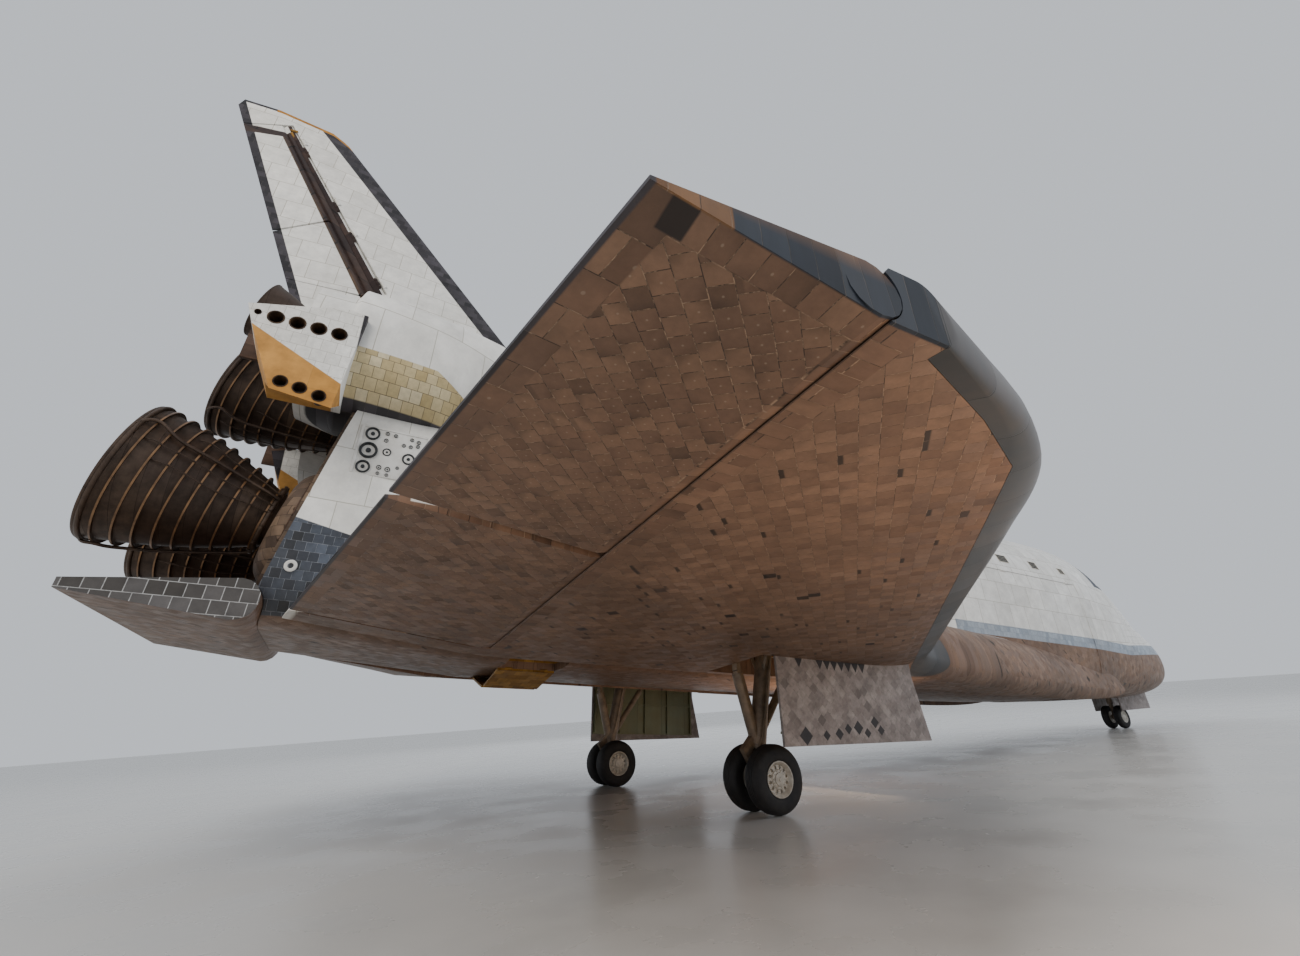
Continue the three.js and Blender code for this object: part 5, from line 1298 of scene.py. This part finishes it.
def domeShape(foot, radius):
    low = foot - 5
    arc = [(low + (domeTop["distance"] - low) * math.sin(math.radians(a)),
            domeTop["radius"] + (radius - domeTop["radius"]) * math.cos(math.radians(a))) for a in range(0, 91, 9)]
    return turned([(low, 0)] + arc + [(domeTop["distance"], 0)], 72)


def collarShape(inner, outer, bolts):
    top = collarHeight
    parts = [turned([(-5, inner), (top - 1.2, inner), (top - 0.4, inner + 0.5), (top, inner + 1.2),
                     (top, outer - 0.3), (top - 0.3, outer), (top - 0.9, outer), (top - 1.1, outer - 0.9),
                     (-5, outer - 0.9), (-5, inner)], 96)]
    for i in range(bolts):
        turn = math.tau * i / bolts
        way = Vector((math.cos(turn), math.sin(turn), 0))
        parts.append(moved(bar(0.5, 0.75, 6), turnTo(way * (outer - 1.0) + Vector((0, 0, 1.2)), way)))
        parts.append(moved(bar(0.45, 0.5, 6), Matrix.Translation(way * (outer - 1.3) + Vector((0, 0, top - 0.1)))))
    return joined(parts)


for (name, gimbal, pitchUp, yaw), (_, foot, radius, outer, bolts) in zip(engines, domes):
    place = engineFrame(gimbal, pitchUp, yaw)
    newPiece("engine_dome_" + name, moved(domeShape(foot, radius), place), shieldSkin, "airframe")
    ring = moved(collarShape(radius + 0.3, outer, bolts), turnTo(place @ Vector((0, 0, foot)), faceNormal))
    if name != "top":
        ring = carve(ring, [flapRoom()])
    newPiece("engine_collar_" + name, ring, collarSkin, "airframe")

# Service panels on both sides of the rear fuselage
servicePanel = {"rear": 1494, "length": 46, "top": 421, "height": 38, "skin": 110.6, "couplings": [
    # ahead of the rear edge, below the top, radius, how far it stands out
    (8.0, 5.9, 5.0, 1.6), (8.0, 19.5, 6.2, 2.2), (7.2, 32.5, 4.8, 1.6), (35.5, 20.5, 4.4, 0.8),
    (20.2, 18.2, 3.0, 0.5), (17.7, 3.6, 1.5, 0.7), (23.5, 4.0, 1.4, 0.7), (35.0, 4.6, 1.4, 0.7),
    (40.0, 5.6, 1.5, 0.7), (17.8, 9.2, 1.5, 0.7), (30.3, 10.4, 1.4, 0.7), (35.2, 10.4, 1.4, 0.7),
    (40.0, 9.0, 1.4, 0.7), (17.5, 31.0, 1.7, 0.7), (23.3, 31.4, 1.9, 0.7), (29.5, 29.0, 1.2, 0.7),
    (42.0, 31.0, 1.5, 0.7), (17.6, 35.6, 1.2, 0.6), (23.6, 35.8, 1.2, 0.6), (41.5, 20.0, 1.3, 0.6)]}


def couplingShape(radius, lift):  # an open socket with a rim and a core
    return turned([(-1.0, 0), (-1.0, radius), (lift * 0.5, radius), (lift, radius * 0.94), (lift, radius * 0.8),
                   (lift * 0.3, radius * 0.72), (-0.6, radius * 0.68), (-0.6, radius * 0.3),
                   (lift * 0.6, radius * 0.26), (lift * 0.7, 0)], 32)


def toSide(bm, station, y, z):  # carries a piece drawn along z to the port side, facing outwards
    return moved(bm, turnTo((-station, y, z), (0, 1, 0)))


aft, skin, top = servicePanel["rear"], servicePanel["skin"], servicePanel["top"]
front, bottom = aft - servicePanel["length"], top - servicePanel["height"]
board = [slab((front, aft), (skin - 6, skin + 0.9), (bottom, top), 0.5),
         slab((aft - 1.8, aft + 0.3), (skin, skin + 1.6), (bottom, top), 0.3),
         slab((front, aft), (skin, skin + 1.5), (top - 1.4, top + 0.3), 0.3)]
newPair("service_panel", joined(board), panelPaint)
plugs = [toSide(couplingShape(radius, lift), aft - ahead, skin + 0.9, top - down)
         for ahead, down, radius, lift in servicePanel["couplings"]]
handSlot = slab((aft + 9, aft + 15), (skin - 2.6, skin + 1.1), (376.4, 377.4))
newPair("service_couplings", joined(plugs + [handSlot]), couplingMetal)
ventPort = [(-3.2, 0), (-3.2, 1.7), (0.35, 1.7), (0.45, 1.9), (0.45, 3.4), (0.3, 3.7), (-3.5, 3.7), (-3.5, 0)]
newPair("vent_port", toSide(turned(ventPort, 40), 1511, 111.3, 314), panelPaint)

# Thruster nozzles: dark liners with a rim, set in the pods' housings
def linerShape(radius, depth):
    return turned([(-depth, 0), (-depth, 0.6 * radius), (-0.4, 0.93 * radius), (0.25, 0.95 * radius),
                   (0.35, 1.02 * radius), (0.3, 1.12 * radius), (-0.3, 1.14 * radius), (-depth - 0.5, 0.75 * radius),
                   (-depth - 0.5, 0)], 32)


liners = [toSide(linerShape(radius, depth - 0.6), station, 150, height)
          for station, height, radius, depth in housingPorts]
newPair("thruster_liners", joined(liners), linerSkin)

# Fin: the nickel seal along the hinge, with the fairings of its actuators, and the tip's clip
print("fin")
finRoot = {"height": 500, "leading": 1277.88, "trailing": 1546.38}
finTip = {"height": 815.72, "leading": 1593.6, "trailing": 1702.07}
hingeShare = 0.6
hingeThickness = 0.0525


def finChord(height):
    share = (height - finRoot["height"]) / (finTip["height"] - finRoot["height"])
    leading = finRoot["leading"] + share * (finTip["leading"] - finRoot["leading"])
    trailing = finRoot["trailing"] + share * (finTip["trailing"] - finRoot["trailing"])
    return leading, trailing


def onHinge(height):
    leading, trailing = finChord(height)
    return Vector((-leading - hingeShare * (trailing - leading), 0, height))


hingeUp = (onHinge(finTip["height"]) - onHinge(finRoot["height"])).normalized()
hingeAft = Vector((0, 1, 0)).cross(hingeUp).normalized()
hingeAft *= -1 if hingeAft.x > 0 else 1


def byHinge(up, aft, y):
    return onHinge(finRoot["height"]) + hingeUp * up + hingeAft * aft + Vector((0, y, 0))


def sealRadius(up):
    leading, trailing = finChord(byHinge(up, 0, 0).z)
    return hingeThickness * (trailing - leading)


# The strip: a skin of nickel plates over the hinge, as thick as the fin there, with fairings on its front
# edge. It ends ahead of where the rudder's corners turn to, and paint carries it on.
finStrip = {"ends": (140.3, 371), "turns": (-22, 10), "proud": 0.35, "rows": 24}
hingeFairings = (155.2, 216.4, 257.6, 334.2)


def stripSection(up, share):  # from the front edge over the crest to the panels' edge
    fore, aft = finStrip["turns"]
    turn = math.radians(fore + (aft - fore) * share)
    reach = sealRadius(up) + finStrip["proud"]
    return byHinge(up, reach * math.sin(turn), reach * math.cos(turn))


def stripSkin(thickness=0.9):
    low, high = finStrip["ends"]
    rings = []
    for i in range(finStrip["rows"] + 1):
        up = low + (high - low) * i / finStrip["rows"]
        top = [stripSection(up, share / 6) for share in range(7)]
        rings.append(top + [point - Vector((0, thickness, 0)) for point in reversed(top)])
    return lofted(rings)


def fairingShape(up):
    radius = sealRadius(up)
    turnToHinge = Vector((0, 0, 1)).rotation_difference(hingeUp).to_matrix().to_4x4()
    parts = []
    for shift, size in ((0, 1.0), (-4.2, 0.8), (4.2, 0.8)):
        centre = byHinge(up + shift, -0.42 * radius - 0.9, 0.93 * radius - 0.5)
        lump = bmesh.new()
        bmesh.ops.create_uvsphere(lump, u_segments=20, v_segments=12, radius=1)
        bmesh.ops.scale(lump, vec=(2.4 * size, 1.5 * size, 3.4 * size), verts=lump.verts)
        parts.append(moved(lump, Matrix.Translation(centre) @ turnToHinge))
    parts.append(strut(byHinge(up, -0.4 * radius, 0.93 * radius), byHinge(up, 0.15 * radius, 0.98 * radius), 0.55))
    return joined(parts)


newPair("fin_strip", joined([stripSkin()] + [fairingShape(up) for up in hingeFairings]), sealSkin)
clip = [strut(byHinge(363.4, -6.0, 6.0), byHinge(364.9, 0.8, 6.3), 1.2, 1.4, 12),
        strut(byHinge(362, 0.5, 5.6), byHinge(354, 0.5, 5.9), 1.5, 0.7, 12)]
newPair("fin_clip", joined(clip), goldSkin)

# Vents in the side above the wing, each a dark louvre in a thin frame
bayVents = [(768.5, 12, 8), (726, 18.6, 9.3), (658.5, 14, 9), (594.5, 10, 7)]  # station, length, height
ventLevel = 432.5
ventRim = 0.7
frames, louvres = [], []
for station, length, height in bayVents:
    low, high = ventLevel - height / 2, ventLevel + height / 2
    lean = (skinAt(station, low) - skinAt(station, high)) / height
    tilt = Matrix(((1, 0, 0, 0), (0, 1, -lean, 0), (0, 0, 1, 0), (0, 0, 0, 1)))
    seat = Matrix.Translation((-station, skinAt(station, ventLevel), ventLevel)) @ tilt
    across, up = length / 2, height / 2
    louvres.append(moved(slab((-across, across), (-0.5, 0.12), (-up, up)), seat))
    for ends, levels in (((-across - ventRim, across + ventRim), (up, up + ventRim)),
                         ((-across - ventRim, across + ventRim), (-up - ventRim, -up)),
                         ((-across - ventRim, -across), (-up, up)), ((across, across + ventRim), (-up, up))):
        frames.append(moved(slab(ends, (-0.5, 0.45), levels), seat))
    for i in range(1, 4):
        level = -up + i * height / 4
        frames.append(moved(slab((-across, across), (-0.5, 0.35), (level - 0.2, level + 0.2)), seat))
newPair("vent_louvre", joined(louvres), couplingMetal, "payload_door_")
newPair("vent_frame", joined(frames), gearPaint, "payload_door_")


# Gear doors: dark new tiles on the outside, framed sheet on the inside
print("gear")
doorOutside = 177
doorTeeth = {"first": 1137.6, "pitch": 7.4, "count": 7, "alone": 1162, "top": (274.6, -0.01), "depth": 6.5}
doorDiamonds = [  # station, height, half of the width
    (1162, 223, 6.0), (1142.5, 223.5, 3.4), (1130, 224.6, 4.0), (1120.5, 228, 3.6),
    (1110, 229, 4.8), (1101, 225.5, 3.4), (1092, 233, 4.2), (1086.5, 227.5, 3.6)]
doorFrames = {"stations": (1044, 1181), "heights": (224, 288), "ribs": (1046, 1080, 1112, 1146, 1179)}


def doorMark(outline):  # one new tile, a little proud of the door
    return sidePrism(outline, (doorOutside - 0.3, doorOutside + 0.08))


def doorTiles():  # a row of pointed tiles near the hinge and loose diamonds at the lower edge
    first, pitch, depth = doorTeeth["first"], doorTeeth["pitch"], doorTeeth["depth"]
    marks = []
    for station in [first - (i - 0.5) * pitch for i in range(doorTeeth["count"])] + [doorTeeth["alone"]]:
        top = doorTeeth["top"][0] + (first - station) * doorTeeth["top"][1]
        fore, aft = station - pitch / 2 + 0.1, station + pitch / 2 - 0.1
        marks.append(doorMark([(fore, top + 3), (aft, top + 3), (aft, top), (station, top - depth), (fore, top)]))
    for station, height, half in doorDiamonds:
        marks.append(doorMark([(station - half, height), (station, height + half), (station + half, height),
                               (station, height - half)]))
    return joined(marks)


def doorFraming():
    ends, (low, high) = doorFrames["stations"], doorFrames["heights"]
    parts = [slab(ends, (173.9, 174.8), (low, high))]
    parts += [slab(ends, (171.8, 174.2), (level, level + 1.6)) for level in (low, (low + high) / 2, high - 2)]
    parts += [slab((station - 0.8, station + 0.8), (171.4, 174.2), (low, high)) for station in doorFrames["ribs"]]
    return joined(parts)


newPair("gear_door_tiles", doorTiles(), newDoorTile)
newPair("gear_door_frames", doorFraming(), primerSkin)

# Linings of the gear well and the umbilical well, clear of the leg, and the fittings in the second
linings = [((1041, 1195), (105, 176), (315.1, 315.9)), ((1041, 1195), (104.1, 104.8), (285, 315)),
           ((1040.2, 1041), (105, 176), (285, 315)), ((1309.8, 1356.8), (46.3, 46.9), (274, 291)),
           ((1309.8, 1356.8), (89.1, 89.7), (274, 291)), ((1356.2, 1356.8), (47, 89), (274, 291)),
           ((1309.8, 1310.4), (47, 89), (274, 291)), ((1310.5, 1356), (47, 89), (291, 291.7))]
newPair("well_linings", joined([slab(*spans) for spans in linings]), goldSkin)
fittings = [strut((-1352, y, 283), (-1314, y, 283), 1.3) for y in (54, 68, 82)]
fittings += [strut((-station, 48, 280), (-station, 88, 280), 1.6) for station in (1320, 1333, 1346)]
fittings += [strut((-station, y, 291), (-station, y, 277), radius) for station, y, radius in (
    (1326, 60, 4.2), (1341, 76, 5.2))]
newPair("umbilical_fittings", joined(fittings), strutBronze)

# Sleeves, collars and hoses of the main leg
legY = 136
legSleeves = [  # station and height of both ends, radius
    (1176.5, 221, 1189.5, 266, 4.5), (1171, 224.5, 1139, 269, 3.1), (1174.6, 217, 1160, 292, 6.4),
    (1175.4, 211, 1177.4, 203, 5.4)]
legParts = [strut((-a, legY, b), (-c, legY, d), radius, None, 20) for a, b, c, d, radius in legSleeves]
for offset, radius in ((6.9, 0.6), (-6.9, 0.6), (5.6, 0.45)):  # hoses from the well to the brakes
    y = legY + offset
    legParts.append(pipe([(-1156 - 3 * radius, y, 299), (-1166, y, 262), (-1172, y, 230), (-1180, y, 212),
                          (-1179, legY + offset * 0.9, 200)], radius))
newPair("leg_sleeves", joined(legParts), strutBronze)


# Floor
print("floor")


def addFloor():
    bm = bmesh.new()
    bmesh.ops.create_circle(bm, cap_ends=True, segments=64, radius=160)
    mesh = bpy.data.meshes.new("floor")
    bm.to_mesh(mesh)
    bm.free()
    floor = bpy.data.objects.new("floor", mesh)
    floor.location.z = -0.002
    scene.collection.objects.link(floor)
    material = bpy.data.materials.new("polishedPaleConcrete")  # pale, with a soft reflection
    material.use_nodes = True
    tree = material.node_tree
    tree.nodes.clear()
    here = addNode(tree, "TexCoord")
    cloud = addNode(tree, "TexNoise", {"Vector": here.outputs["Object"], "Scale": 0.6, "Detail": 6.0})
    tint = addNode(tree, "ValToRGB", [cloud], stops=[(0.3, "#b9b8b4"), (0.7, "#c9c8c4")])
    rough = addNode(tree, "MapRange", [cloud, 0.3, 0.7, 0.22, 0.34])
    shader = addNode(tree, "BsdfPrincipled", {"Base Color": tint, "Roughness": rough})
    addNode(tree, "OutputMaterial", {"Surface": shader})
    mesh.materials.append(material)


addCamera()
addLight()
addFloor()

print("size")
